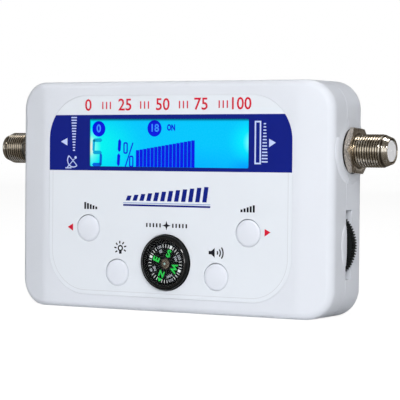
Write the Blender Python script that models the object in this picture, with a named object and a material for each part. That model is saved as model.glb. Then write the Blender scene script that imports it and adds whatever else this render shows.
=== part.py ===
"""Hand-held satellite signal meter.

A flat white box with a screened threaded socket at each end, a backlit display,
four push buttons, a small liquid compass and a knurled gain wheel in one side.

The model stands on its lower edge. X runs along the box, +Y from the front face
into the box, +Z up. The origin is under the middle of the whole meter. Depths are
measured from the flat front face, heights from the middle of the box.
"""

import math

import bmesh
import bpy
from mathutils import Vector

# General fits
CLEARANCE = 0.0003
OVERRUN = 0.0010
SMALL_EDGE = 0.0003
TURN_SEGMENTS = 24
WIDE_SEGMENTS = 28
SMALL_SEGMENTS = 12
SCREW_SEGMENTS = 8

# Case
CASE_WIDTH = 0.1069
CASE_HEIGHT = 0.0683
CASE_DEPTH = 0.0217
CASE_CORNER = 0.00835
FRONT_FILLET = 0.0021
BACK_FILLET = 0.0023
WALL = 0.0020
CAVITY_FILLET = 0.0008
CORNER_STEPS = 5
FILLET_STEPS = 3
CAVITY_STEPS = 1
BEND_LINES = 6
END_BAND_WIDTH = 0.01125
END_BAND_DROP = 0.0025
PARTING_DEPTH = 0.0110
PARTING_GAP = 0.0002
LIP_HEIGHT = 0.0012
LIP_THICKNESS = 0.0010
LIP_STEP = 0.0003
SEAM_STEP = 0.00005

# Socket bosses and the rise beside the wheel
BOSS_RADIUS = 0.0085
BOSS_FLARE = 0.0013
BOSS_HEIGHT = 0.0008
RISE_HEIGHT = 0.0004
RISE_REACH = 0.0029
RISE_HALF_LENGTH = 0.0059

# Case screws and their posts
POST_SIDE_INSET = 0.00795
POST_TOP_INSET = 0.00655
POST_RADIUS = 0.0028
SCREW_RADIUS = 0.0011
SCREW_HEAD_RADIUS = 0.0022
SCREW_HEAD_HEIGHT = 0.0014
SCREW_HEAD_SUNK = 0.0006
SCREW_BITE = 0.0060

# Printed front label
LABEL_SIDE_MARGIN = 0.0006
LABEL_TOP_MARGIN = 0.00425
LABEL_CORNER = 0.0131
LABEL_THICKNESS = 0.00025

# Display
WINDOW_SIDE_MARGIN = 0.0142
WINDOW_HEIGHT = 0.0144
WINDOW_X = 0.0002
WINDOW_DROP = 0.01828
WINDOW_CORNER = 0.0004
WINDOW_LEDGE = 0.0012
CELL_BORDER = 0.0017
CELL_THICKNESS = 0.0018
CELL_STEP = 0.0008
LIGHT_GUIDE_BORDER = 0.0029
LIGHT_GUIDE_THICKNESS = 0.0021
HOLDER_WALL = 0.0010
STRIP_HEIGHT = 0.0016

# Main board
BOARD_DEPTH = 0.0062
BOARD_THICKNESS = 0.0016
BOARD_TOP_GAP = 0.00165
BOARD_CORNER = 0.0012
STANDOFF_SIDE_INSET = 0.0090
STANDOFF_UPPER_INSET = 0.0043
STANDOFF_LOWER_INSET = 0.0033
STANDOFF_RADIUS = 0.0022
BOARD_SCREW_RADIUS = 0.0008
BOARD_SCREW_HEAD_RADIUS = 0.0018
BOARD_SCREW_HEAD_HEIGHT = 0.0011
BOARD_SCREW_BITE = 0.0028

# Push buttons and their switches
UPPER_BUTTON_SHARES = (0.661, -0.334)
LOWER_BUTTON_INSET = 0.0069
LOWER_BUTTON_GAP = 0.0024
BUTTON_RADIUS = 0.00395
BUTTON_CROWN = 0.00045
BUTTON_EDGE = 0.0003
CROWN_STEPS = 2
BUTTON_TRAVEL = 0.0005
BUTTON_FLANGE = 0.0011
BUTTON_FLANGE_THICKNESS = 0.0008
BUTTON_SKIN = 0.0010
BUTTON_STEM_RADIUS = 0.0016
SWITCH_SIZE = 0.0060
SWITCH_HEIGHT = 0.0019
SWITCH_FLOOR = 0.0003
PLUNGER_RADIUS = 0.0017
PLUNGER_SHOULDER = 0.0004

# Compass
COMPASS_INSET = 0.01053
COMPASS_RADIUS = 0.00845
COMPASS_PROUD = 0.0016
COMPASS_RIM_RADIUS = 0.0077
RIM_STEPS = 3
COMPASS_FLANGE = 0.0011
COMPASS_FLANGE_THICKNESS = 0.0010
COMPASS_BACK_DEPTH = 0.0052
LENS_RADIUS = 0.0069
LENS_THICKNESS = 0.0004
LENS_SUNK = 0.0001
CARD_RADIUS = 0.0062
CARD_THICKNESS = 0.0005
CARD_GAP = 0.0006
CARD_CAP_RADIUS = 0.0016
CARD_CAP_HEIGHT = 0.0003
BOWL_DEPTH = 0.0022
PIVOT_RADIUS = 0.0009
PIVOT_TIP_RADIUS = 0.0003

# Threaded sockets
SOCKET_HEIGHT_SHARE = 0.2056
SOCKET_LENGTH = 0.01315
SOCKET_BACK_GAP = 0.00048
THREAD_RADIUS = 0.0047625
LEAD_IN_START = 0.0025
LEAD_IN_END = 0.0009
LEAD_IN_RADIUS = 0.0041
NOSE_RADIUS = 0.0039
NOSE_EDGE = 0.0003
SOCKET_BORE_RADIUS = 0.00335
SOCKET_FLANGE_RADIUS = 0.0058
SOCKET_FLANGE_THICKNESS = 0.0020
SOCKET_TAIL_RADIUS = 0.0042
SOCKET_TAIL = 0.0029
INSULATOR_RADIUS = 0.00305
INSULATOR_SUNK = 0.0002
PIN_HOLE_RADIUS = 0.0005
PIN_HOLE_DEPTH = 0.0010
CONTACT_RADIUS = 0.0008
CONTACT_TAIL = 0.0030
WASHER_THICKNESS = 0.0003
WASHER_RADIUS = 0.0066
STACK_GAP = 0.0002
NUT_RADIUS = 0.0074
NUT_THICKNESS = 0.0016
NUT_TURN = math.radians(3.8)

# Gain wheel and its potentiometer
WHEEL_PROUD = 0.0021
WHEEL_POST_GAP = 0.00115
WHEEL_RADIUS = 0.01055
WHEEL_THICKNESS = 0.0026
WHEEL_TEETH = 96
TOOTH_DEPTH = 0.0003
WHEEL_DISH = 0.0006
WHEEL_HUB_RADIUS = 0.0040
WHEEL_RIM = 0.0017
SLOT_HALF_LENGTH = 0.0100
SLOT_RAISE = 0.0002
SLOT_WIDTH = 0.0036
SHAFT_RADIUS = 0.0016
POT_RADIUS = 0.0060
POT_SEAT = 0.0004

# Parts on the back of the board
CAN_POST_GAP = 0.00226
CAN_BACK_GAP = 0.0008
CAN_WALL = 0.0005
CAN_HOLE_CLEARANCE = 0.0005
BUZZER_SIDE_INSET = 0.0200
BUZZER_Z = -0.0110
BUZZER_RADIUS = 0.0060
BUZZER_HEIGHT = 0.0055
BUZZER_PORT_RADIUS = 0.0010
BUZZER_PORT_DEPTH = 0.0020
CAPACITOR_WHEEL_GAP = 0.0035
CAPACITOR_Z = -0.0060
CAPACITOR_RADIUS = 0.0032
CAPACITOR_BACK_GAP = 0.0030
CAPACITOR_PITCH = 0.0080
CHIP_X = 0.0005
CHIP_Z = -0.0120
CHIP_SIZE = 0.0100
CHIP_THICKNESS = 0.0014

# Places and sizes that follow from the ones above
FRONT_Y = (COMPASS_PROUD - CASE_DEPTH) / 2
MID_Z = CASE_HEIGHT / 2
SIDE_X = CASE_WIDTH / 2
BEND_END = SIDE_X - CASE_CORNER
END_BAND_START = SIDE_X - END_BAND_WIDTH
FRONT_SHELL_END = PARTING_DEPTH - PARTING_GAP / 2
BACK_SHELL_START = PARTING_DEPTH + PARTING_GAP / 2
BACK_WALL = CASE_DEPTH - WALL
POST_X = SIDE_X - POST_SIDE_INSET
POST_Z = MID_Z - POST_TOP_INSET
LABEL_WIDTH = 2 * (END_BAND_START - LABEL_SIDE_MARGIN)
LABEL_HEIGHT = 2 * (MID_Z - LABEL_TOP_MARGIN)
LABEL_RECESS = LABEL_THICKNESS + CLEARANCE
WINDOW_WIDTH = LABEL_WIDTH - 2 * WINDOW_SIDE_MARGIN
WINDOW_Z = MID_Z - WINDOW_DROP
CELL_WIDTH = WINDOW_WIDTH + 2 * CELL_BORDER
CELL_HEIGHT = WINDOW_HEIGHT + 2 * CELL_BORDER
CELL_DEPTH = WINDOW_LEDGE + CLEARANCE
CELL_BACK = CELL_DEPTH + CELL_THICKNESS
LIGHT_GUIDE_HEIGHT = CELL_HEIGHT - 2 * LIGHT_GUIDE_BORDER
UPPER_BUTTON_X = UPPER_BUTTON_SHARES[0] * LABEL_WIDTH / 2
UPPER_BUTTON_Z = UPPER_BUTTON_SHARES[1] * LABEL_HEIGHT / 2
LOWER_BUTTON_X = COMPASS_RADIUS + COMPASS_FLANGE + LOWER_BUTTON_GAP + BUTTON_FLANGE + BUTTON_RADIUS
LOWER_BUTTON_Z = LOWER_BUTTON_INSET - LABEL_HEIGHT / 2
BUTTON_FLANGE_DEPTH = WALL + CLEARANCE
BUTTON_FLANGE_BACK = BUTTON_FLANGE_DEPTH + BUTTON_FLANGE_THICKNESS
SWITCH_DEPTH = BOARD_DEPTH - CLEARANCE - SWITCH_HEIGHT
COMPASS_Z = COMPASS_INSET - LABEL_HEIGHT / 2
SOCKET_Z = SOCKET_HEIGHT_SHARE * CASE_HEIGHT
SOCKET_DEPTH = BACK_WALL - SOCKET_BACK_GAP - SOCKET_FLANGE_RADIUS
SOCKET_REACH = SIDE_X + SOCKET_LENGTH
SOCKET_SEAT = SIDE_X - WALL - CLEARANCE
SOCKET_TAIL_END = SOCKET_SEAT - SOCKET_FLANGE_THICKNESS - SOCKET_TAIL
BOSS_FACE = SIDE_X + BOSS_HEIGHT
BOARD_BACK = BOARD_DEPTH + BOARD_THICKNESS
BOARD_WIDTH = 2 * (SOCKET_TAIL_END - CLEARANCE)
BOARD_HEIGHT = CASE_HEIGHT - 2 * (WALL + BOARD_TOP_GAP)
STANDOFF_X = BOARD_WIDTH / 2 - STANDOFF_SIDE_INSET
STANDOFF_UPPER_Z = BOARD_HEIGHT / 2 - STANDOFF_UPPER_INSET
STANDOFF_LOWER_Z = STANDOFF_LOWER_INSET - BOARD_HEIGHT / 2
WHEEL_X = SIDE_X + WHEEL_PROUD - WHEEL_RADIUS
WHEEL_Z = WHEEL_RADIUS + WHEEL_POST_GAP + POST_RADIUS - POST_Z
WHEEL_DEPTH = BACK_SHELL_START + CLEARANCE + PARTING_GAP / 2
WHEEL_BACK = WHEEL_DEPTH + WHEEL_THICKNESS
WHEEL_SIDES = 2 * WHEEL_TEETH
SLOT_Z = WHEEL_Z + SLOT_RAISE
CAN_HEIGHT = 2 * (POST_Z - POST_RADIUS - CAN_POST_GAP - SOCKET_Z)
CAN_HOLE_RADIUS = CONTACT_RADIUS + CAN_HOLE_CLEARANCE
BUZZER_X = BUZZER_SIDE_INSET - BOARD_WIDTH / 2
CAPACITOR_X = WHEEL_X - WHEEL_RADIUS - CAPACITOR_WHEEL_GAP - CAPACITOR_RADIUS

TO_BACK = (-math.pi / 2, 0, 0)
TO_RIGHT = (0, math.pi / 2, 0)
TO_LEFT = (0, -math.pi / 2, 0)

WHITE_PLASTIC = ((0.86, 0.88, 0.92), 0.42, 0.0)
LABEL_FILM = ((0.85, 0.87, 0.91), 0.35, 0.0)
DISPLAY_GLASS = ((0.05, 0.60, 0.95), 0.12, 0.0)
LIGHT_ACRYLIC = ((0.92, 0.94, 0.95), 0.30, 0.0)
GREY_RUBBER = ((0.30, 0.30, 0.32), 0.80, 0.0)
GREEN_BOARD = ((0.03, 0.22, 0.10), 0.45, 0.0)
BLACK_PLASTIC = ((0.015, 0.015, 0.017), 0.38, 0.0)
CLEAR_LENS = ((0.95, 0.97, 0.98), 0.05, 0.0)
CARD_FACE = ((0.012, 0.012, 0.014), 0.55, 0.0)
BRASS = ((0.62, 0.50, 0.28), 0.30, 1.0)
NICKEL = ((0.62, 0.61, 0.58), 0.26, 1.0)
DARK_STEEL = ((0.12, 0.12, 0.13), 0.40, 1.0)
STEEL = ((0.58, 0.59, 0.61), 0.32, 1.0)
TINPLATE = ((0.66, 0.67, 0.68), 0.38, 1.0)
INSULATION = ((0.90, 0.90, 0.89), 0.50, 0.0)
BLUE_SLEEVE = ((0.05, 0.09, 0.30), 0.40, 0.0)


def clear_scene():
    """Remove whatever the file holds before the meter is built."""
    for thing in list(bpy.data.objects):
        bpy.data.objects.remove(thing, do_unlink=True)


def give_finish(thing, finish):
    """Put one Principled material on an object, named after it."""
    colour, roughness, metallic = finish
    material = bpy.data.materials.new(thing.name + "_finish")
    material.use_nodes = True
    shader = material.node_tree.nodes["Principled BSDF"]
    shader.inputs["Base Color"].default_value = (*colour, 1.0)
    shader.inputs["Roughness"].default_value = roughness
    shader.inputs["Metallic"].default_value = metallic
    material.diffuse_color = (*colour, 1.0)
    thing.data.materials.clear()
    thing.data.materials.append(material)


def place(x, depth, height):
    """World point from a place across, into and up the box."""
    return Vector((x, FRONT_Y + depth, MID_Z + height))


def object_from(name, shape, location=(0, 0, 0), rotation=(0, 0, 0)):
    """Turn a bmesh into a named object with its faces pointing out."""
    bmesh.ops.recalc_face_normals(shape, faces=shape.faces)
    mesh = bpy.data.meshes.new(name)
    shape.to_mesh(mesh)
    shape.free()
    thing = bpy.data.objects.new(name, mesh)
    thing.location = location
    thing.rotation_euler = rotation
    bpy.context.scene.collection.objects.link(thing)
    return thing


def as_tool(thing):
    """Mark an object as a tool that only shapes others."""
    thing.hide_render = True
    thing.display_type = "WIRE"
    return thing


def combine(target, tool, operation):
    """Add a Boolean with a hidden tool to the target."""
    as_tool(tool)
    modifier = target.modifiers.new(tool.name, "BOOLEAN")
    modifier.operation = operation
    modifier.solver = "EXACT"
    modifier.object = tool


def cut(target, *tools):
    """Take every tool out of the target."""
    for tool in tools:
        combine(target, tool, "DIFFERENCE")


def fuse(target, *tools):
    """Join every tool to the target."""
    for tool in tools:
        combine(target, tool, "UNION")


def settle(thing):
    """Make an object's evaluated shape its own mesh."""
    graph = bpy.context.evaluated_depsgraph_get()
    mesh = bpy.data.meshes.new_from_object(thing.evaluated_get(graph))
    thing.modifiers.clear()
    thing.data = mesh
    return thing


def smooth(thing, angle=math.radians(35)):
    """Shade round faces smooth and keep real edges sharp."""
    thing.data.shade_smooth()
    thing.data.set_sharp_from_angle(angle=angle)


def flat_ends(shape):
    """Make each flat disc at the ends of a turned body one face."""
    centres = []
    for vert in shape.verts:
        if vert.co.x ** 2 + vert.co.y ** 2 < (SMALL_EDGE / 100) ** 2:
            spread = max(abs(edge.other_vert(vert).co.z - vert.co.z) for edge in vert.link_edges)
            if spread < SMALL_EDGE / 100:
                centres.append(vert)
    bmesh.ops.dissolve_verts(shape, verts=centres)


def turned(name, profile, location, rotation, segments=TURN_SEGMENTS):
    """Revolve a closed profile of (radius, distance along) about local Z."""
    shape = bmesh.new()
    ring = [shape.verts.new((radius, 0, along)) for radius, along in profile]
    edges = [shape.edges.new((a, b)) for a, b in zip(ring, ring[1:] + ring[:1])]
    bmesh.ops.spin(
        shape, geom=ring + edges, cent=(0, 0, 0), axis=(0, 0, 1),
        angle=2 * math.pi, steps=segments, use_merge=True, use_duplicate=False,
    )
    bmesh.ops.remove_doubles(shape, verts=shape.verts, dist=SMALL_EDGE / 100)
    axis_edges = [e for e in shape.edges if not e.link_faces]
    bmesh.ops.delete(shape, geom=axis_edges, context="EDGES")
    bmesh.ops.dissolve_degenerate(shape, dist=SMALL_EDGE / 100, edges=shape.edges)
    flat_ends(shape)
    thing = object_from(name, shape, location, rotation)
    smooth(thing)
    return thing


def rod(name, radius, length, location, rotation, segments=SMALL_SEGMENTS):
    """A plain cylinder from its location along local Z."""
    profile = [(0, 0), (radius, 0), (radius, length), (0, length)]
    return turned(name, profile, location, rotation, segments)


def arc(centre, radius, start, end, steps):
    """Points on an arc in the plane of an outline."""
    points = []
    for step in range(steps + 1):
        angle = start + (end - start) * step / steps
        points.append((centre[0] + radius * math.cos(angle), centre[1] + radius * math.sin(angle)))
    return points


def rounded_outline(width, height, corner, steps):
    """Anticlockwise outline of a rectangle with round corners."""
    x, z = width / 2 - corner, height / 2 - corner
    quarter = math.pi / 2
    points = []
    for turn, (sx, sz) in enumerate(((1, 1), (-1, 1), (-1, -1), (1, -1))):
        points += arc((sx * x, sz * z), corner, turn * quarter, (turn + 1) * quarter, steps)
    return points


def plate(name, outline, near, far, x=0, height=0):
    """Extrude an outline from one depth to another, centred at x and height."""
    shape = bmesh.new()
    verts = [shape.verts.new((px, 0, pz)) for px, pz in outline]
    face = shape.faces.new(verts)
    grown = bmesh.ops.extrude_face_region(shape, geom=[face])["geom"]
    moved = [v for v in grown if isinstance(v, bmesh.types.BMVert)]
    bmesh.ops.translate(shape, verts=moved, vec=(0, far - near, 0))
    return object_from(name, shape, place(x, near, height))


def block(name, width, height, near, far, x=0, middle=0, corner=SMALL_EDGE):
    """A plate with small round corners."""
    return plate(name, rounded_outline(width, height, corner, 2), near, far, x, middle)


def end_drop(x):
    """How far the front face has fallen back at a distance from the middle."""
    bend = BEND_END - END_BAND_START
    slope = END_BAND_DROP / (SIDE_X - (END_BAND_START + BEND_END) / 2)
    beyond = abs(x) - END_BAND_START
    if beyond <= 0:
        return 0
    if beyond < bend:
        return slope * beyond ** 2 / (2 * bend)
    return slope * (beyond - bend / 2)


def case_outline(inset):
    """Outline of the box drawn in by an inset, with points where the face bends."""
    corner = CASE_CORNER - inset
    top = MID_Z - inset
    x, z = BEND_END, MID_Z - CASE_CORNER
    quarter = math.pi / 2
    bends = ((END_BAND_START + BEND_END) / 2, END_BAND_START)
    points = []
    points += arc((x, z), corner, 0, quarter, CORNER_STEPS)
    points += [(place_x, top) for place_x in bends]
    points += [(-place_x, top) for place_x in reversed(bends)]
    points += arc((-x, z), corner, quarter, 2 * quarter, CORNER_STEPS)
    points += arc((-x, -z), corner, 2 * quarter, 3 * quarter, CORNER_STEPS)
    points += [(-place_x, -top) for place_x in bends]
    points += [(place_x, -top) for place_x in reversed(bends)]
    points += arc((x, -z), corner, 3 * quarter, 4 * quarter, CORNER_STEPS)
    return points


def fillet_rings(inset, face, radius, inward, falls, steps):
    """Insets and depths of a rounded edge, from its flat face out to the side wall."""
    rings = []
    for step in range(steps + 1):
        angle = math.pi / 2 * step / steps
        drawn = inset + radius * (1 - math.sin(angle))
        rings.append((drawn, face + inward * radius * (1 - math.cos(angle)), falls))
    return rings


def lofted(name, rings):
    """Closed body through rings of (inset, depth, whether the ring falls back at the ends)."""
    shape = bmesh.new()
    loops = []
    for inset, depth, falls in rings:
        points = [(x, depth + (end_drop(x) if falls else 0), z) for x, z in case_outline(inset)]
        loops.append([shape.verts.new(point) for point in points])
    count = len(loops[0])
    for first, second in zip(loops, loops[1:]):
        for index in range(count):
            after = (index + 1) % count
            shape.faces.new((first[index], first[after], second[after], second[index]))
    for loop, (_, _, falls) in ((loops[0], rings[0]), (loops[-1], rings[-1])):
        if falls:
            front_strips(shape, loop)
        else:
            shape.faces.new(loop)
    return object_from(name, shape, place(0, 0, 0))


def front_strips(shape, loop):
    """Close the front in flat strips between the points where the face bends."""
    count = len(loop)
    top_first = CORNER_STEPS
    bottom_last = count - CORNER_STEPS - 1
    lines = [(top_first + step, bottom_last - step) for step in range(BEND_LINES)]
    for (top, bottom), (next_top, next_bottom) in zip(lines, lines[1:]):
        shape.faces.new((loop[top], loop[next_top], loop[next_bottom], loop[bottom]))
    right_cap = [loop[i % count] for i in range(lines[0][1], count)] + loop[: lines[0][0] + 1]
    shape.faces.new(right_cap)
    left_cap = loop[lines[-1][0]: lines[-1][1] + 1]
    shape.faces.new(left_cap)


def seam_half(name, near, far):
    """A block wider than the box between two depths."""
    width = CASE_WIDTH + 2 * (BOSS_HEIGHT + OVERRUN)
    height = CASE_HEIGHT + 2 * OVERRUN
    return block(name, width, height, near, far)


def socket_boss(side, half, near, far):
    """One shell's part of the coned boss round a socket, kept inside the rounded edges."""
    sign = 1 if side == "right" else -1
    inner = SIDE_X - WALL / 2
    rise = BOSS_FACE - inner
    profile = [
        (0, 0), (BOSS_RADIUS + BOSS_FLARE, 0),
        (BOSS_RADIUS + BOSS_FLARE, rise - BOSS_HEIGHT), (BOSS_RADIUS, rise), (0, rise),
    ]
    turn = TO_RIGHT if sign > 0 else TO_LEFT
    name = half + "_boss_" + side
    boss = turned(name, profile, place(sign * inner, SOCKET_DEPTH, SOCKET_Z), turn)
    out = -BOSS_HEIGHT - SMALL_EDGE
    rings = fillet_rings(out, 0, FRONT_FILLET + BOSS_HEIGHT, 1, True, FILLET_STEPS)
    back = fillet_rings(out, CASE_DEPTH, BACK_FILLET + BOSS_HEIGHT, -1, False, FILLET_STEPS)
    combine(boss, lofted(name + "_trim", rings + back[::-1]), "INTERSECT")
    combine(boss, seam_half(name + "_half", near, far), "INTERSECT")
    return settle(boss)


def socket_hole(side, half):
    """Cutter for a socket's hole in a side wall."""
    sign = 1 if side == "right" else -1
    start = place(sign * (SIDE_X - WALL - OVERRUN), SOCKET_DEPTH, SOCKET_Z)
    length = WALL + BOSS_HEIGHT + 2 * OVERRUN
    turn = TO_RIGHT if sign > 0 else TO_LEFT
    radius = THREAD_RADIUS + CLEARANCE
    return rod(half + "_hole_" + side, radius, length, start, turn, TURN_SEGMENTS)


def wheel_rise(near, far):
    """Low rounded swelling of the side wall in front of the wheel."""
    shape = bmesh.new()
    bmesh.ops.create_uvsphere(shape, u_segments=16, v_segments=8, radius=1)
    bmesh.ops.scale(shape, vec=(RISE_HEIGHT, RISE_REACH, RISE_HALF_LENGTH), verts=shape.verts)
    rise = object_from("wheel_rise", shape, place(SIDE_X, PARTING_DEPTH, WHEEL_Z))
    combine(rise, seam_half("rise_half", near, far), "INTERSECT")
    return settle(rise)


def corner_posts():
    """The four places of the case screws."""
    return [(sx * POST_X, sz * POST_Z) for sx in (-1, 1) for sz in (-1, 1)]


def standoffs():
    """The four places where the board is screwed to the front shell."""
    return [(sx * STANDOFF_X, z) for sx in (-1, 1) for z in (STANDOFF_LOWER_Z, STANDOFF_UPPER_Z)]


def buttons():
    """Name and place of each push button."""
    return [
        ("upper_left", -UPPER_BUTTON_X, UPPER_BUTTON_Z),
        ("lower_left", -LOWER_BUTTON_X, LOWER_BUTTON_Z),
        ("upper_right", UPPER_BUTTON_X, UPPER_BUTTON_Z),
        ("lower_right", LOWER_BUTTON_X, LOWER_BUTTON_Z),
    ]


def front_face_cutters(name, near, far):
    """Cutters for the window, the button holes and the compass hole."""
    outline = rounded_outline(WINDOW_WIDTH, WINDOW_HEIGHT, WINDOW_CORNER, 2)
    cutters = [plate(name + "_window", outline, near, far, WINDOW_X, WINDOW_Z)]
    for label, x, z in buttons():
        start = place(x, near, z)
        radius = BUTTON_RADIUS + CLEARANCE
        cutters.append(rod(name + "_" + label, radius, far - near, start, TO_BACK, TURN_SEGMENTS))
    start = place(0, near, COMPASS_Z)
    radius = COMPASS_RADIUS + CLEARANCE
    cutters.append(rod(name + "_compass", radius, far - near, start, TO_BACK, WIDE_SEGMENTS))
    return cutters


def drilled_post(name, radius, end, screw_radius, bite, x, z):
    """A post on the front wall with a blind hole for its screw."""
    root = WALL - SMALL_EDGE
    bore = screw_radius + CLEARANCE
    floor = end - bite - CLEARANCE
    profile = [(0, root), (radius, root), (radius, end), (bore, end), (bore, floor), (0, floor)]
    return turned(name, profile, place(x, 0, z), TO_BACK, SMALL_SEGMENTS)


def front_cover():
    """Front shell with its label recess, openings, posts and standoffs."""
    rebate = WALL + LIP_STEP - LIP_THICKNESS - CLEARANCE
    rebate_floor = FRONT_SHELL_END - LIP_HEIGHT - CLEARANCE
    rings = fillet_rings(0, 0, FRONT_FILLET, 1, True, FILLET_STEPS)
    rings += [
        (0, FRONT_SHELL_END, False), (rebate, FRONT_SHELL_END, False),
        (rebate, rebate_floor, False), (WALL, rebate_floor, False),
    ]
    rings += fillet_rings(WALL, WALL, CAVITY_FILLET, 1, True, CAVITY_STEPS)[::-1]
    cover = lofted("front_cover", rings)
    near, far = -OVERRUN, FRONT_SHELL_END - SEAM_STEP
    fuse(cover, socket_boss("left", "front", near, far), socket_boss("right", "front", near, far))
    fuse(cover, wheel_rise(near, far))
    for number, (x, z) in enumerate(corner_posts()):
        fuse(cover, drilled_post(
            f"front_post_{number}", POST_RADIUS, FRONT_SHELL_END, SCREW_RADIUS, SCREW_BITE, x, z,
        ))
    for number, (x, z) in enumerate(standoffs()):
        fuse(cover, drilled_post(
            f"standoff_{number}", STANDOFF_RADIUS, BOARD_DEPTH - CLEARANCE,
            BOARD_SCREW_RADIUS, BOARD_SCREW_BITE, x, z,
        ))
    recess = rounded_outline(
        LABEL_WIDTH + 2 * CLEARANCE, LABEL_HEIGHT + 2 * CLEARANCE,
        LABEL_CORNER + CLEARANCE, CORNER_STEPS,
    )
    cut(cover, plate("label_recess", recess, -OVERRUN, LABEL_RECESS))
    pocket_width = CELL_WIDTH + 2 * CLEARANCE
    pocket_height = CELL_HEIGHT + 2 * CLEARANCE
    cut(cover, block(
        "cell_pocket", pocket_width, pocket_height, WINDOW_LEDGE, WALL + OVERRUN,
        WINDOW_X, WINDOW_Z,
    ))
    cut(cover, *front_face_cutters("face_hole", -OVERRUN, WALL + OVERRUN))
    cut(cover, socket_hole("left", "front"), socket_hole("right", "front"))
    give_finish(settle(cover), WHITE_PLASTIC)
    smooth(cover)
    return cover


def back_cover():
    """Back shell with its lip, screw posts and the slot for the wheel."""
    lip_outer = WALL + LIP_STEP - LIP_THICKNESS
    lip_inner = WALL + LIP_STEP
    lip_end = FRONT_SHELL_END - LIP_HEIGHT
    lip_root = BACK_SHELL_START + LIP_HEIGHT
    rings = fillet_rings(0, CASE_DEPTH, BACK_FILLET, -1, False, FILLET_STEPS)
    rings += [
        (0, BACK_SHELL_START, False), (lip_outer, BACK_SHELL_START, False),
        (lip_outer, lip_end, False), (lip_inner, lip_end, False),
        (lip_inner, lip_root, False), (WALL, lip_root, False),
    ]
    rings += fillet_rings(WALL, BACK_WALL, CAVITY_FILLET, -1, False, CAVITY_STEPS)[::-1]
    cover = lofted("back_cover", rings)
    near, far = BACK_SHELL_START + SEAM_STEP, CASE_DEPTH + OVERRUN
    fuse(cover, socket_boss("left", "back", near, far), socket_boss("right", "back", near, far))
    for side, sign in (("left", -1), ("right", 1)):
        width = 2 * (LIP_THICKNESS + CLEARANCE)
        height = 2 * (BOSS_RADIUS + BOSS_FLARE)
        cut(cover, block(
            "lip_gap_" + side, width, height, lip_end - OVERRUN, BACK_SHELL_START - SEAM_STEP,
            sign * (SIDE_X - lip_inner + LIP_THICKNESS / 2), SOCKET_Z,
        ))
    post_length = BACK_WALL - BACK_SHELL_START + SMALL_EDGE
    for number, (x, z) in enumerate(corner_posts()):
        start = place(x, BACK_SHELL_START, z)
        fuse(cover, rod(f"back_post_{number}", POST_RADIUS, post_length, start, TO_BACK))
    head_floor = CASE_DEPTH - SCREW_HEAD_SUNK - SCREW_HEAD_HEIGHT - CLEARANCE
    shank = SCREW_RADIUS + CLEARANCE
    head = SCREW_HEAD_RADIUS + CLEARANCE
    near = BACK_SHELL_START - OVERRUN
    far = CASE_DEPTH + OVERRUN
    way = [(0, near), (shank, near), (shank, head_floor), (head, head_floor), (head, far), (0, far)]
    for number, (x, z) in enumerate(corner_posts()):
        cut(cover, turned(f"screw_way_{number}", way, place(x, 0, z), TO_BACK, SMALL_SEGMENTS))
    slot_near = FRONT_SHELL_END - LIP_HEIGHT - OVERRUN
    slot_far = BACK_SHELL_START + SLOT_WIDTH
    cut(cover, block(
        "wheel_slot", 2 * (WALL + OVERRUN), 2 * SLOT_HALF_LENGTH, slot_near, slot_far,
        SIDE_X, SLOT_Z,
    ))
    cut(cover, socket_hole("left", "back"), socket_hole("right", "back"))
    give_finish(settle(cover), WHITE_PLASTIC)
    smooth(cover)
    return cover


def screws(prefix, profile, places, start_depth):
    """Identical screws, one object each."""
    for number, (x, z) in enumerate(places, start=1):
        start = place(x, start_depth, z)
        screw = turned(f"{prefix}_{number}", profile, start, TO_BACK, SCREW_SEGMENTS)
        give_finish(screw, STEEL)


def case_screws():
    """Four screws that hold the two shells together."""
    start_depth = FRONT_SHELL_END - SCREW_BITE
    length = CASE_DEPTH - SCREW_HEAD_SUNK - start_depth
    profile = [
        (0, 0), (SCREW_RADIUS - SMALL_EDGE, 0), (SCREW_RADIUS, SMALL_EDGE),
        (SCREW_RADIUS, length - SCREW_HEAD_HEIGHT),
        (SCREW_HEAD_RADIUS, length - SCREW_HEAD_HEIGHT),
        (SCREW_HEAD_RADIUS, length - SMALL_EDGE), (SCREW_HEAD_RADIUS - SMALL_EDGE, length),
        (0, length),
    ]
    screws("case_screw", profile, corner_posts(), start_depth)


def front_label():
    """Printed film in the front shell's recess."""
    outline = rounded_outline(LABEL_WIDTH, LABEL_HEIGHT, LABEL_CORNER, CORNER_STEPS)
    label = plate("front_label", outline, 0, LABEL_THICKNESS)
    cut(label, *front_face_cutters("label_hole", -OVERRUN, LABEL_THICKNESS + OVERRUN))
    give_finish(settle(label), LABEL_FILM)


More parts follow.
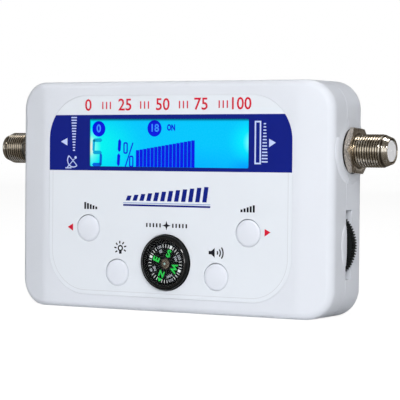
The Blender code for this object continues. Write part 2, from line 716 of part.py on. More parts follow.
def display():
    """Display cell, its holder, light guide and contact strips."""
    cell = block(
        "lcd_cell", CELL_WIDTH, CELL_HEIGHT, CELL_DEPTH, CELL_BACK - CELL_STEP,
        WINDOW_X, WINDOW_Z,
    )
    rear_height = CELL_HEIGHT - 2 * CELL_STEP
    fuse(cell, block(
        "cell_rear_glass", CELL_WIDTH, rear_height,
        CELL_BACK - CELL_STEP - SMALL_EDGE, CELL_BACK, WINDOW_X, WINDOW_Z,
    ))
    give_finish(settle(cell), DISPLAY_GLASS)
    guide_near = CELL_BACK + CLEARANCE
    guide_far = guide_near + LIGHT_GUIDE_THICKNESS
    guide = block(
        "light_guide", CELL_WIDTH - 2 * CELL_STEP, LIGHT_GUIDE_HEIGHT, guide_near, guide_far,
        WINDOW_X, WINDOW_Z,
    )
    give_finish(guide, LIGHT_ACRYLIC)
    strip_z = LIGHT_GUIDE_HEIGHT / 2 + CLEARANCE + STRIP_HEIGHT / 2
    for label, sign in (("upper", 1), ("lower", -1)):
        strip = block(
            "contact_strip_" + label, CELL_WIDTH - 4 * CELL_STEP, STRIP_HEIGHT, guide_near,
            BOARD_DEPTH - CLEARANCE, WINDOW_X, WINDOW_Z + sign * strip_z,
        )
        give_finish(strip, GREY_RUBBER)
    inner_width = CELL_WIDTH + 2 * CLEARANCE
    inner_height = CELL_HEIGHT + 2 * CLEARANCE
    holder_near = WALL + CLEARANCE
    holder_far = BOARD_DEPTH - CLEARANCE
    holder = block(
        "lcd_holder", inner_width + 2 * HOLDER_WALL, inner_height + 2 * HOLDER_WALL,
        holder_near, holder_far, WINDOW_X, WINDOW_Z,
    )
    cut(holder, block(
        "holder_room", inner_width, inner_height, holder_near - OVERRUN,
        holder_far + OVERRUN, WINDOW_X, WINDOW_Z,
    ))
    give_finish(settle(holder), INSULATION)


def main_board():
    """Circuit board, cut round the case posts and drilled for its screws."""
    outline = rounded_outline(BOARD_WIDTH, BOARD_HEIGHT, BOARD_CORNER, 2)
    board = plate("main_board", outline, BOARD_DEPTH, BOARD_BACK)
    near = BOARD_DEPTH - OVERRUN
    through = BOARD_THICKNESS + 2 * OVERRUN
    relief = POST_RADIUS + CLEARANCE
    notch_width = BOARD_WIDTH - 2 * (POST_X - relief)
    notch_height = BOARD_HEIGHT - 2 * (POST_Z - relief)
    for number, (sx, sz) in enumerate(((-1, -1), (-1, 1), (1, -1), (1, 1))):
        cut(board, block(
            f"corner_notch_{number}", notch_width, notch_height, near, near + through,
            sx * BOARD_WIDTH / 2, sz * BOARD_HEIGHT / 2, BOARD_CORNER,
        ))
    for number, (x, z) in enumerate(standoffs()):
        radius = BOARD_SCREW_RADIUS + CLEARANCE
        cut(board, rod(f"board_hole_{number}", radius, through, place(x, near, z), TO_BACK))
    give_finish(settle(board), GREEN_BOARD)
    smooth(board)


def board_screws():
    """Four small screws through the board into the standoffs."""
    start_depth = BOARD_DEPTH - BOARD_SCREW_BITE
    under_head = BOARD_BACK + CLEARANCE - start_depth
    length = under_head + BOARD_SCREW_HEAD_HEIGHT
    profile = [
        (0, 0), (BOARD_SCREW_RADIUS, 0), (BOARD_SCREW_RADIUS, under_head),
        (BOARD_SCREW_HEAD_RADIUS, under_head), (BOARD_SCREW_HEAD_RADIUS, length - SMALL_EDGE),
        (BOARD_SCREW_HEAD_RADIUS - SMALL_EDGE, length), (0, length),
    ]
    screws("board_screw", profile, standoffs(), start_depth)


def push_button(label, x, z):
    """A hollow cap with a retaining flange, and the switch behind it."""
    edge = BUTTON_RADIUS - BUTTON_EDGE
    inner = BUTTON_RADIUS - BUTTON_SKIN
    stem_end = BUTTON_FLANGE_BACK + CLEARANCE
    crown = [
        (edge * math.sin(part), -BUTTON_CROWN * math.cos(part))
        for part in (math.pi / 2 * step / CROWN_STEPS for step in range(CROWN_STEPS))
    ]
    profile = crown + [
        (edge, 0), (BUTTON_RADIUS, BUTTON_EDGE), (BUTTON_RADIUS, BUTTON_FLANGE_DEPTH),
        (BUTTON_RADIUS + BUTTON_FLANGE, BUTTON_FLANGE_DEPTH),
        (BUTTON_RADIUS + BUTTON_FLANGE, BUTTON_FLANGE_BACK), (inner, BUTTON_FLANGE_BACK),
        (inner, BUTTON_SKIN), (BUTTON_STEM_RADIUS, BUTTON_SKIN),
        (BUTTON_STEM_RADIUS, stem_end), (0, stem_end),
    ]
    cap = turned("button_" + label, profile, place(x, 0, z), TO_BACK)
    give_finish(cap, WHITE_PLASTIC)
    body = block(
        "switch_body_" + label, SWITCH_SIZE, SWITCH_SIZE, SWITCH_DEPTH,
        BOARD_DEPTH - CLEARANCE, x, z,
    )
    bore = PLUNGER_RADIUS + CLEARANCE
    bore_end = BOARD_DEPTH - CLEARANCE - SWITCH_FLOOR
    start = place(x, SWITCH_DEPTH - OVERRUN, z)
    cut(body, rod("switch_bore_" + label, bore, bore_end - SWITCH_DEPTH + OVERRUN, start, TO_BACK))
    give_finish(settle(body), DARK_STEEL)
    near = stem_end + CLEARANCE
    far = bore_end - CLEARANCE - BUTTON_TRAVEL
    narrow = PLUNGER_RADIUS - PLUNGER_SHOULDER
    plunger_profile = [
        (0, 0), (narrow, 0), (PLUNGER_RADIUS, PLUNGER_SHOULDER),
        (PLUNGER_RADIUS, far - near), (0, far - near),
    ]
    plunger = turned(
        "plunger_" + label, plunger_profile, place(x, near, z), TO_BACK, SMALL_SEGMENTS,
    )
    give_finish(plunger, BLACK_PLASTIC)


def compass():
    """Compass bowl, lens, pivot and the card that turns on it."""
    lens_near = LENS_SUNK - COMPASS_PROUD
    lens_far = lens_near + LENS_THICKNESS
    seat = lens_far + CLEARANCE
    card_near = lens_far + CARD_GAP
    card_far = card_near + CARD_THICKNESS
    bowl_floor = card_far + BOWL_DEPTH
    shoulder = COMPASS_RADIUS - COMPASS_RIM_RADIUS
    flange_near = WALL + CLEARANCE
    flange_far = flange_near + COMPASS_FLANGE_THICKNESS
    flange_radius = COMPASS_RADIUS + COMPASS_FLANGE
    front = -COMPASS_PROUD
    rounding = [
        (COMPASS_RIM_RADIUS + shoulder * math.sin(a), front + shoulder * (1 - math.cos(a)))
        for a in (math.pi / 2 * step / RIM_STEPS for step in range(RIM_STEPS + 1))
    ]
    lens_bore = LENS_RADIUS + CLEARANCE
    bowl_bore = CARD_RADIUS + CLEARANCE + LENS_SUNK
    profile = rounding + [
        (COMPASS_RADIUS, flange_near), (flange_radius, flange_near),
        (flange_radius, flange_far), (COMPASS_RADIUS, flange_far),
        (COMPASS_RADIUS, COMPASS_BACK_DEPTH), (0, COMPASS_BACK_DEPTH), (0, bowl_floor),
        (bowl_bore - BOWL_DEPTH / 2, bowl_floor), (bowl_bore, bowl_floor - BOWL_DEPTH / 2),
        (bowl_bore, seat), (lens_bore, seat), (lens_bore, front),
    ]
    origin = place(0, 0, COMPASS_Z)
    bowl = turned("compass_bowl", profile, origin, TO_BACK, WIDE_SEGMENTS)
    give_finish(bowl, BLACK_PLASTIC)
    lens_profile = [(0, lens_near), (LENS_RADIUS, lens_near), (LENS_RADIUS, lens_far), (0, lens_far)]
    give_finish(turned("compass_lens", lens_profile, origin, TO_BACK), CLEAR_LENS)
    hole = PIVOT_RADIUS
    socket = card_near + CARD_THICKNESS / 2
    card_profile = [
        (0, card_near), (CARD_RADIUS, card_near), (CARD_RADIUS, card_far), (hole, card_far),
        (hole, socket), (0, socket),
    ]
    give_finish(turned("compass_card", card_profile, origin, TO_BACK), CARD_FACE)
    cap_far = card_near - STACK_GAP / 2
    cap_near = cap_far - CARD_CAP_HEIGHT
    cap_profile = [
        (0, cap_near), (CARD_CAP_RADIUS / 2, cap_near), (CARD_CAP_RADIUS, cap_far), (0, cap_far),
    ]
    cap = turned("card_cap", cap_profile, origin, TO_BACK, SMALL_SEGMENTS)
    give_finish(cap, BRASS)
    tip = card_far + STACK_GAP
    base = bowl_floor - CLEARANCE
    tip_profile = [
        (0, tip), (PIVOT_TIP_RADIUS, tip), (PIVOT_RADIUS, tip + PIVOT_RADIUS), (PIVOT_RADIUS, base),
        (0, base),
    ]
    give_finish(turned("compass_pivot", tip_profile, origin, TO_BACK, SMALL_SEGMENTS), STEEL)


def socket(side):
    """One threaded socket with its nut, washer, insulator and contact."""
    sign = 1 if side == "right" else -1
    turn = TO_RIGHT if sign > 0 else TO_LEFT
    inside = SOCKET_SEAT
    flange_end = inside - SOCKET_FLANGE_THICKNESS
    tail_end = SOCKET_TAIL_END
    origin = place(0, SOCKET_DEPTH, SOCKET_Z)
    nose = SOCKET_REACH
    profile = [
        (SOCKET_BORE_RADIUS, tail_end), (SOCKET_TAIL_RADIUS, tail_end),
        (SOCKET_TAIL_RADIUS, flange_end), (SOCKET_FLANGE_RADIUS, flange_end),
        (SOCKET_FLANGE_RADIUS, inside), (THREAD_RADIUS, inside),
        (THREAD_RADIUS, nose - LEAD_IN_START), (LEAD_IN_RADIUS, nose - LEAD_IN_END),
        (NOSE_RADIUS, nose - LEAD_IN_END), (NOSE_RADIUS, nose - NOSE_EDGE),
        (NOSE_RADIUS - NOSE_EDGE, nose), (SOCKET_BORE_RADIUS, nose),
    ]
    body = turned("socket_body_" + side, profile, origin, turn)
    give_finish(body, NICKEL)
    front = nose - INSULATOR_SUNK
    contact_bore = CONTACT_RADIUS + CLEARANCE
    contact_front = front - PIN_HOLE_DEPTH - CLEARANCE
    insulator_profile = [
        (contact_bore, tail_end), (INSULATOR_RADIUS, tail_end), (INSULATOR_RADIUS, front),
        (PIN_HOLE_RADIUS, front), (PIN_HOLE_RADIUS, front - PIN_HOLE_DEPTH),
        (contact_bore, front - PIN_HOLE_DEPTH),
    ]
    insulator = turned("insulator_" + side, insulator_profile, origin, turn, SMALL_SEGMENTS)
    give_finish(insulator, INSULATION)
    contact_back = tail_end - CLEARANCE - CAN_WALL - CONTACT_TAIL
    contact_profile = [
        (0, contact_back), (CONTACT_RADIUS, contact_back), (CONTACT_RADIUS, contact_front),
        (PIN_HOLE_RADIUS, contact_front), (PIN_HOLE_RADIUS, contact_front - PIN_HOLE_DEPTH),
        (0, contact_front - PIN_HOLE_DEPTH),
    ]
    give_finish(turned("contact_" + side, contact_profile, origin, turn, SCREW_SEGMENTS), BRASS)
    washer_near = BOSS_FACE + STACK_GAP
    washer_far = washer_near + WASHER_THICKNESS
    clear = THREAD_RADIUS + STACK_GAP
    washer_profile = [
        (clear, washer_near), (WASHER_RADIUS, washer_near), (WASHER_RADIUS, washer_far),
        (clear, washer_far),
    ]
    give_finish(turned("washer_" + side, washer_profile, origin, turn, SMALL_SEGMENTS), DARK_STEEL)
    nut(side, sign, washer_far + STACK_GAP)


def nut(side, sign, near):
    """Hexagon nut with chamfered corners on the socket's thread."""
    far = near + NUT_THICKNESS
    flat_radius = NUT_RADIUS * math.cos(math.pi / 6)
    chamfer = (NUT_RADIUS - flat_radius) / 2
    clear = THREAD_RADIUS + STACK_GAP
    turn = TO_RIGHT if sign > 0 else TO_LEFT
    origin = place(0, SOCKET_DEPTH, SOCKET_Z)
    round_profile = [
        (clear, near), (flat_radius, near), (NUT_RADIUS, near + chamfer),
        (NUT_RADIUS, far - chamfer), (flat_radius, far), (clear, far),
    ]
    body = turned("nut_" + side, round_profile, origin, turn, TURN_SEGMENTS)
    shape = bmesh.new()
    corners = []
    for corner in range(6):
        angle = NUT_TURN + corner * math.pi / 3
        corners.append(shape.verts.new((
            sign * (near - OVERRUN), -NUT_RADIUS * math.cos(angle), NUT_RADIUS * math.sin(angle),
        )))
    face = shape.faces.new(corners)
    grown = bmesh.ops.extrude_face_region(shape, geom=[face])["geom"]
    moved = [v for v in grown if isinstance(v, bmesh.types.BMVert)]
    length = NUT_THICKNESS + 2 * OVERRUN
    bmesh.ops.translate(shape, verts=moved, vec=(sign * length, 0, 0))
    combine(body, object_from("nut_form_" + side, shape, origin), "INTERSECT")
    give_finish(settle(body), NICKEL)


def gain_wheel():
    """Knurled wheel on a potentiometer's shaft."""
    teeth = []
    for step in range(WHEEL_SIDES):
        angle = 2 * math.pi * step / WHEEL_SIDES
        radius = WHEEL_RADIUS - TOOTH_DEPTH * (step % 2)
        teeth.append((radius * math.cos(angle), radius * math.sin(angle)))
    shape = bmesh.new()
    thickness = WHEEL_THICKNESS
    loops = [[shape.verts.new((x, depth, z)) for x, z in teeth] for depth in (0, thickness)]
    for near_loop, far_loop in zip(loops, loops[1:]):
        for index in range(WHEEL_SIDES):
            after = (index + 1) % WHEEL_SIDES
            shape.faces.new((near_loop[index], near_loop[after], far_loop[after], far_loop[index]))
    shape.faces.new(loops[0])
    shape.faces.new(loops[-1])
    wheel = object_from("gain_wheel", shape, place(WHEEL_X, WHEEL_DEPTH, WHEEL_Z))
    dish_radius = WHEEL_RADIUS - TOOTH_DEPTH - WHEEL_RIM
    hub = WHEEL_HUB_RADIUS
    for label, start, end in (
        ("front", -OVERRUN, WHEEL_DISH), ("back", thickness - WHEEL_DISH, thickness + OVERRUN),
    ):
        dish = [(hub, start), (dish_radius, start), (dish_radius, end), (hub, end)]
        origin = place(WHEEL_X, WHEEL_DEPTH, WHEEL_Z)
        cut(wheel, turned("wheel_dish_" + label, dish, origin, TO_BACK))
    bore = SHAFT_RADIUS + CLEARANCE
    start = place(WHEEL_X, WHEEL_DEPTH - OVERRUN, WHEEL_Z)
    cut(wheel, rod("wheel_bore", bore, thickness + 2 * OVERRUN, start, TO_BACK))
    give_finish(settle(wheel), BLACK_PLASTIC)
    pot_near = BOARD_BACK + CLEARANCE
    pot_far = WHEEL_DEPTH - CLEARANCE
    shaft_near = pot_near + POT_SEAT + CLEARANCE
    origin = place(WHEEL_X, 0, WHEEL_Z)
    pot_profile = [
        (0, pot_near), (POT_RADIUS, pot_near), (POT_RADIUS, pot_far), (bore, pot_far),
        (bore, pot_near + POT_SEAT), (0, pot_near + POT_SEAT),
    ]
    give_finish(turned("pot_body", pot_profile, origin, TO_BACK), STEEL)
    shaft_length = WHEEL_BACK - shaft_near
    start = place(WHEEL_X, shaft_near, WHEEL_Z)
    give_finish(rod("wheel_shaft", SHAFT_RADIUS, shaft_length, start, TO_BACK), DARK_STEEL)


def tuner_can():
    """Screening can between the two sockets, open towards the board."""
    half_width = SOCKET_TAIL_END - CLEARANCE
    near = BOARD_BACK + CLEARANCE
    far = BACK_WALL - CAN_BACK_GAP
    can = block("tuner_can", 2 * half_width, CAN_HEIGHT, near, far, 0, SOCKET_Z)
    inner_width = 2 * (half_width - CAN_WALL)
    cut(can, block(
        "can_room", inner_width, CAN_HEIGHT - 2 * CAN_WALL, near - OVERRUN, far - CAN_WALL,
        0, SOCKET_Z,
    ))
    for side, sign, turn in (("left", -1, TO_LEFT), ("right", 1, TO_RIGHT)):
        start = place(sign * (half_width - CAN_WALL - OVERRUN), SOCKET_DEPTH, SOCKET_Z)
        length = CAN_WALL + 2 * OVERRUN
        cut(can, rod("can_hole_" + side, CAN_HOLE_RADIUS, length, start, turn))
    give_finish(settle(can), TINPLATE)


def board_parts():
    """Sounder, capacitors and controller chip on the back of the board."""
    near = BOARD_BACK + CLEARANCE
    far = near + BUZZER_HEIGHT
    port = far - BUZZER_PORT_DEPTH
    buzzer_profile = [
        (0, near), (BUZZER_RADIUS, near), (BUZZER_RADIUS, far - SMALL_EDGE),
        (BUZZER_RADIUS - SMALL_EDGE, far), (BUZZER_PORT_RADIUS, far),
        (BUZZER_PORT_RADIUS, port), (0, port),
    ]
    buzzer = turned("sounder", buzzer_profile, place(BUZZER_X, 0, BUZZER_Z), TO_BACK)
    give_finish(buzzer, BLACK_PLASTIC)
    top = BACK_WALL - CAPACITOR_BACK_GAP
    groove = CAPACITOR_RADIUS - SMALL_EDGE
    capacitor_profile = [
        (0, near), (CAPACITOR_RADIUS, near), (CAPACITOR_RADIUS, near + SMALL_EDGE),
        (groove, near + 2 * SMALL_EDGE), (CAPACITOR_RADIUS, near + 3 * SMALL_EDGE),
        (CAPACITOR_RADIUS, top - SMALL_EDGE), (groove, top), (0, top),
    ]
    for number, step in (("1", 0), ("2", 1)):
        origin = place(CAPACITOR_X - step * CAPACITOR_PITCH, 0, CAPACITOR_Z)
        capacitor = turned(
            "capacitor_" + number, capacitor_profile, origin, TO_BACK, SMALL_SEGMENTS,
        )
        give_finish(capacitor, BLUE_SLEEVE)
    chip = block("controller_chip", CHIP_SIZE, CHIP_SIZE, near, near + CHIP_THICKNESS, CHIP_X, CHIP_Z)
    give_finish(chip, BLACK_PLASTIC)


def build():
    """Build the whole meter."""
    clear_scene()
    front_cover()
    back_cover()
    case_screws()
    front_label()
    display()
    main_board()
    board_screws()
    for label, x, z in buttons():
        push_button(label, x, z)
    compass()
    socket("left")
    socket("right")
    gain_wheel()
    tuner_can()
    board_parts()


build()
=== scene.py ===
"""Finish model of a hand-held satellite signal meter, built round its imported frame.

The meter stands on its lower edge: X runs along the box, +Y from the front face into
it, +Z up. Depths are measured from the flat front face, heights from the box's middle.
"""

import logging
import math
from dataclasses import dataclass
from enum import Enum
from typing import Callable, Optional, Sequence, Union

import bmesh
import bpy
from mathutils import Matrix, Vector


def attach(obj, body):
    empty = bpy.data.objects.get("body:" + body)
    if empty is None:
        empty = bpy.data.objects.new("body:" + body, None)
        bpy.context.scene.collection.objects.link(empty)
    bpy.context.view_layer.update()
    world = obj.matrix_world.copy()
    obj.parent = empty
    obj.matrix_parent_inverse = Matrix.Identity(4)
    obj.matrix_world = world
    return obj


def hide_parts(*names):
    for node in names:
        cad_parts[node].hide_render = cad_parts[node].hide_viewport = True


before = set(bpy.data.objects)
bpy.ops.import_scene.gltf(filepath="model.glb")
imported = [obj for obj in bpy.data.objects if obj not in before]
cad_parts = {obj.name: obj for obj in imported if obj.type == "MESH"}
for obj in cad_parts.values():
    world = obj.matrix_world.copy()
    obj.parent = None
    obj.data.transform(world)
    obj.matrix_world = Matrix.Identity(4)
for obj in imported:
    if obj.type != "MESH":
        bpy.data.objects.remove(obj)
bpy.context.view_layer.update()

LOG = logging.getLogger("signal_meter")
Point = tuple[float, float]
Triple = tuple[float, float, float]
Outline = Sequence[Point]
Thing = bpy.types.Object
Link = bpy.types.NodeSocket
Links = dict[str, Link]
Value = Union[float, Triple, Vector, Link, Thing, bpy.types.Material]

MM = 0.001
HAIR = 1e-7
HAIR_GAP = 0.00001
QUARTER = math.pi / 2
FULL = 2 * math.pi
OVERRUN = 0.0010
INK_LIFT = 0.00002
INK_DEPTH = 0.00003
SHARP_ANGLE = math.radians(32)


class Body(Enum):
    """The rigid bodies that pieces ride on."""

    HOUSING = "housing"
    WHEEL = "wheel"
    CARD = "card"
    UPPER_LEFT = "upper_left_button"
    LOWER_LEFT = "lower_left_button"
    UPPER_RIGHT = "upper_right_button"
    LOWER_RIGHT = "lower_right_button"


class Facing(Enum):
    """Where the local Z axis of a turned or flat shape points on the meter."""

    LOCAL = (0.0, "X")
    INWARD = (-QUARTER, "X")
    OUTWARD = (QUARTER, "X")
    LEFT = (-QUARTER, "Y")
    RIGHT = (QUARTER, "Y")

    def at(self, origin: Vector) -> Matrix:
        """Places local points with Z in this direction, about an origin."""
        return Matrix.Translation(origin) @ Matrix.Rotation(self.value[0], 4, self.value[1])


class Side(Enum):
    """The two ends of the meter, by the sign of X."""

    LEFT = -1
    RIGHT = 1

    @property
    def facing(self) -> Facing:
        """The direction out of this end."""
        return Facing[self.name]

    @property
    def label(self) -> str:
        """How this end's pieces are named."""
        return self.name.lower()


class Shaping(Enum):
    """What a tool does to the piece that it shapes."""

    ADD = "UNION"
    CUT = "DIFFERENCE"
    KEEP = "INTERSECT"


class Kind(Enum):
    """Kinds of node group sockets."""

    FLOAT = "NodeSocketFloat"
    VECTOR = "NodeSocketVector"
    INTEGER = "NodeSocketInt"
    OBJECT = "NodeSocketObject"
    MATERIAL = "NodeSocketMaterial"
    GEOMETRY = "NodeSocketGeometry"


FLOAT, VECTOR, INTEGER, OBJECT, MATERIAL, GEOMETRY = Kind


def srgb(*display: int) -> Triple:
    """Linear colour of an 8-bit display colour."""
    return tuple(((c / 255 + 0.055) / 1.055) ** 2.4 if c > 10 else c / 255 / 12.92 for c in display)


@dataclass(frozen=True)
class CaseSizes:
    """The outer sizes of the case, and how its front face falls back at both ends.

    The flat front face lies at front_y and the middle of the box at middle_z, in the
    world. Away from the middle the face starts to fall back at bend_start, and has
    turned fully at bend_end.
    """

    width: float = 0.1069
    height: float = 0.0683
    depth: float = 0.0217
    corner: float = 0.00835
    band_width: float = 0.01125
    band_drop: float = 0.0025
    parting: float = 0.0110
    wall: float = 0.0020
    proud: float = 0.0016
    socket: Point = (0.01342, 0.01404)
    wheel: Point = (0.0450, -0.0131)
    front_y: float = (proud - depth) / 2
    middle_z: float = height / 2
    side_x: float = width / 2
    bend_start: float = side_x - band_width
    bend_end: float = side_x - corner

    def place(self, x: float, depth: float, height: float) -> Vector:
        """World point from a place across, into and up the box."""
        return Vector((x, self.front_y + depth, self.middle_z + height))

    def drop(self, x: float) -> float:
        """How far the front face has fallen back.

        Args:
            x: Place across the box.

        Returns:
            The depth of the face there.
        """
        bend = self.bend_end - self.bend_start
        slope = self.band_drop / (self.side_x - (self.bend_start + self.bend_end) / 2)
        beyond = max(abs(x) - self.bend_start, 0)
        return slope * beyond ** 2 / (2 * bend) if beyond < bend else slope * (beyond - bend / 2)


CASE = CaseSizes()


# Outlines

def polar(centre: Point, radius: float, angle: float) -> Point:
    """The point at a distance and an angle from another one."""
    return centre[0] + radius * math.cos(angle), centre[1] + radius * math.sin(angle)


def arc(centre: Point, radius: float, start: float, end: float, steps: int) -> list[Point]:
    """Points on an arc in even steps, with both ends."""
    return [polar(centre, radius, start + (end - start) * step / steps) for step in range(steps + 1)]


def circle(centre: Point, radius: float, steps: int) -> list[Point]:
    """Closed circle without a repeated point."""
    return arc(centre, radius, 0, FULL, steps)[:-1]


def rectangle(left: float, bottom: float, right: float, top: float) -> list[Point]:
    """Closed anticlockwise rectangle."""
    return [(left, bottom), (right, bottom), (right, top), (left, top)]


def metres(point: Point) -> Point:
    """A point in metres from one in millimetres."""
    return point[0] * MM, point[1] * MM


def in_metres(outline: Outline) -> list[Point]:
    """An outline in metres from one in millimetres."""
    return [metres(point) for point in outline]


def round_rectangle(half: Point, corner: float, steps: int, centre: Point = (0, 0)) -> list[Point]:
    """Closed anticlockwise rectangle with round corners.

    Args:
        half: Half width and half height.
        corner: Radius of the corners.
        steps: Straight pieces in each corner.
        centre: Middle of the rectangle.

    Returns:
        The points.
    """
    points = []
    for turn, (sx, sz) in enumerate(((1, 1), (-1, 1), (-1, -1), (1, -1))):
        middle = (centre[0] + sx * (half[0] - corner), centre[1] + sz * (half[1] - corner))
        points += arc(middle, corner, turn * QUARTER, (turn + 1) * QUARTER, steps)
    return points


def stroke(points: Outline, width: float) -> list[Point]:
    """Closed outline of a line of even width with square ends.

    Args:
        points: The line's own points.
        width: Its width.

    Returns:
        The outline.
    """
    left, right = [], []
    for index, (x, z) in enumerate(points):
        along = Vector(points[min(index + 1, len(points) - 1)]) - Vector(points[max(index - 1, 0)])
        across, up = Vector((-along.y, along.x)).normalized() * width / 2
        left.append((x + across, z + up))
        right.append((x - across, z - up))
    return left + right[::-1]


# Meshes

def link_object(name: str, data: bpy.types.ID) -> Thing:
    """Put a mesh, curve, lamp or camera in the scene.

    Args:
        name: The object's name.
        data: What it holds.

    Returns:
        The object.
    """
    thing = bpy.data.objects.new(name, data)
    bpy.context.scene.collection.objects.link(thing)
    return thing


def object_from(name: str, shape: bmesh.types.BMesh, place: Optional[Matrix] = None) -> Thing:
    """Turn a bmesh into an object at the origin, with its faces pointing out.

    Args:
        name: The object's name.
        shape: The bmesh, freed here.
        place: Where its points go, or nothing if they are in place.

    Returns:
        The object.
    """
    bmesh.ops.recalc_face_normals(shape, faces=shape.faces)
    mesh = bpy.data.meshes.new(name)
    shape.to_mesh(mesh)
    shape.free()
    mesh.transform(place or Matrix())
    return link_object(name, mesh)


def settle(thing: Thing, place: Optional[Matrix] = None) -> Thing:
    """Make an object's evaluated shape a plain mesh at the origin, with no modifiers left.

    Args:
        thing: A mesh, curve or text object.
        place: Where its points go, or nothing if they are in place.

    Returns:
        The mesh object, under the same name.
    """
    graph = bpy.context.evaluated_depsgraph_get()
    mesh = bpy.data.meshes.new_from_object(thing.evaluated_get(graph))
    mesh.transform(place or Matrix())
    if thing.type == "MESH":
        thing.modifiers.clear()
        thing.data = mesh
        return thing
    name = thing.name
    bpy.data.objects.remove(thing)
    return link_object(name, mesh)


def smooth(thing: Thing, weighted: bool = False) -> Thing:
    """Shade round faces smooth and keep real edges sharp.

    Args:
        thing: The object.
        weighted: Whether large faces keep their own direction at their rims.

    Returns:
        The same object.
    """
    thing.data.shade_smooth()
    thing.data.set_sharp_from_angle(angle=SHARP_ANGLE)
    if weighted:
        thing.modifiers.new("even_shading", "WEIGHTED_NORMAL").keep_sharp = True
        settle(thing)
    return thing


def joined(name: str, parts: Sequence[Thing]) -> Thing:
    """Join objects' meshes into one object without a material.

    Args:
        name: The new object's name.
        parts: The objects, removed here.

    Returns:
        The joined object.
    """
    shape = bmesh.new()
    for part in parts:
        shape.from_mesh(part.data)
        bpy.data.objects.remove(part)
    mesh = bpy.data.meshes.new(name)
    shape.to_mesh(mesh)
    shape.free()
    return link_object(name, mesh)


def combine(target: Thing, shaping: Shaping, *tools: Thing) -> Thing:
    """Shape an object with tools that lie clear of each other, and remove them.

    Args:
        target: The object that is shaped.
        shaping: What the tools do.
        *tools: The objects that shape it.

    Returns:
        The shaped object.
    """
    tool = joined("tool", tools)
    modifier = target.modifiers.new("shape", "BOOLEAN")
    modifier.operation, modifier.solver, modifier.object = shaping.value, "EXACT", tool
    settle(target)
    bpy.data.objects.remove(tool)
    return target


def skin(rings: Sequence[Sequence], wrap: bool = False) -> tuple[bmesh.types.BMesh, list]:
    """Faces from each ring of points to the next.

    Args:
        rings: Rings of one length, or of a single point.
        wrap: Whether the last ring joins the first.

    Returns:
        The bmesh, and its vertices ring by ring.
    """
    shape = bmesh.new()
    loops = [[shape.verts.new(point) for point in ring] for ring in rings]
    count = max(len(loop) for loop in loops)
    for first, second in zip(loops, loops[1:] + loops[:1] if wrap else loops[1:]):
        for step in range(count):
            after = (step + 1) % count
            corners = [first[step % len(first)], first[after % len(first)]]
            corners += [second[after % len(second)], second[step % len(second)]]
            corners = list(dict.fromkeys(corners))
            if len(corners) > 2:
                shape.faces.new(corners)
    return shape, loops


def capped(name: str, rings: Sequence[Sequence], place: Optional[Matrix] = None) -> Thing:
    """A body through rings of points, with a flat face on the first and on the last.

    Args:
        name: The object's name.
        rings: The rings in order.
        place: Where the points go, or nothing if they are in place.

    Returns:
        The body.
    """
    shape, loops = skin(rings)
    for loop in (loops[0], loops[-1]):
        shape.faces.new(loop)
    return object_from(name, shape, place)


def turned(name: str, profile: Outline, facing: Facing, origin: Vector, segments: int = 96) -> Thing:
    """Revolve a closed profile about an axis of the meter.

    Args:
        name: The object's name.
        profile: Points of (radius, distance along the axis).
        facing: Where the axis points.
        origin: The axis's start.
        segments: Steps round the axis.

    Returns:
        The turned object, smooth-shaded.
    """
    rings = []
    for radius, along in profile:
        points = [(0, 0)] if radius < HAIR else circle((0, 0), radius, segments)
        rings.append([(x, y, along) for x, y in points])
    return smooth(object_from(name, skin(rings, True)[0], facing.at(origin)))


def rod(radius: float, near: float, far: float) -> list[Point]:
    """Profile of a plain rod."""
    return [(0, near), (radius, near), (radius, far), (0, far)]


def on_face(depth: float, centre: Point = (0, 0), turn: float = 0) -> Matrix:
    """Places local X and Y across and up the front face, with Z towards the viewer."""
    return Facing.OUTWARD.at(CASE.place(centre[0], depth, centre[1])) @ Matrix.Rotation(turn, 4, "Z")


def in_ink(depth: float = 0, centre: Point = (0, 0), turn: float = 0) -> Matrix:
    """Places the middle of a printed mark's thickness on the surface at a depth."""
    return on_face(depth - INK_LIFT + INK_DEPTH / 2, centre, turn)


def flat_shape(name: str, outlines: Sequence[Outline], near: float, far: float, edge: float = 0) -> Thing:
    """Fill closed outlines, nested ones as holes, and give them thickness.

    Args:
        name: The object's name.
        outlines: Outlines across and up the box.
        near: Depth of the side that faces the viewer.
        far: Depth of the other side.
        edge: Radius of the rounded edges.

    Returns:
        The flat solid in its place.
    """
    curve = bpy.data.curves.new(name, "CURVE")
    curve.dimensions, curve.fill_mode = "2D", "BOTH"
    curve.extrude = (far - near) / 2 - edge
    curve.bevel_depth, curve.bevel_resolution, curve.offset = edge, 1, -edge
    for outline in outlines:
        spline = curve.splines.new("POLY")
        spline.points.add(len(outline) - 1)
        for point, (x, z) in zip(spline.points, outline):
            point.co = (x, z, 0, 1)
        spline.use_cyclic_u = True
    return settle(link_object(name, curve), on_face((near + far) / 2))


def printed(outlines: Sequence[Outline], depth: float = 0) -> Thing:
    """A thin printed mark on the surface at a depth, from outlines in millimetres."""
    near = depth - INK_LIFT
    return flat_shape("mark", [in_metres(outline) for outline in outlines], near, near + INK_DEPTH)


def prints(outlines: Sequence[Outline], depth: float = 0) -> list[Thing]:
    """A printed mark for each outline."""
    return [printed([outline], depth) for outline in outlines]


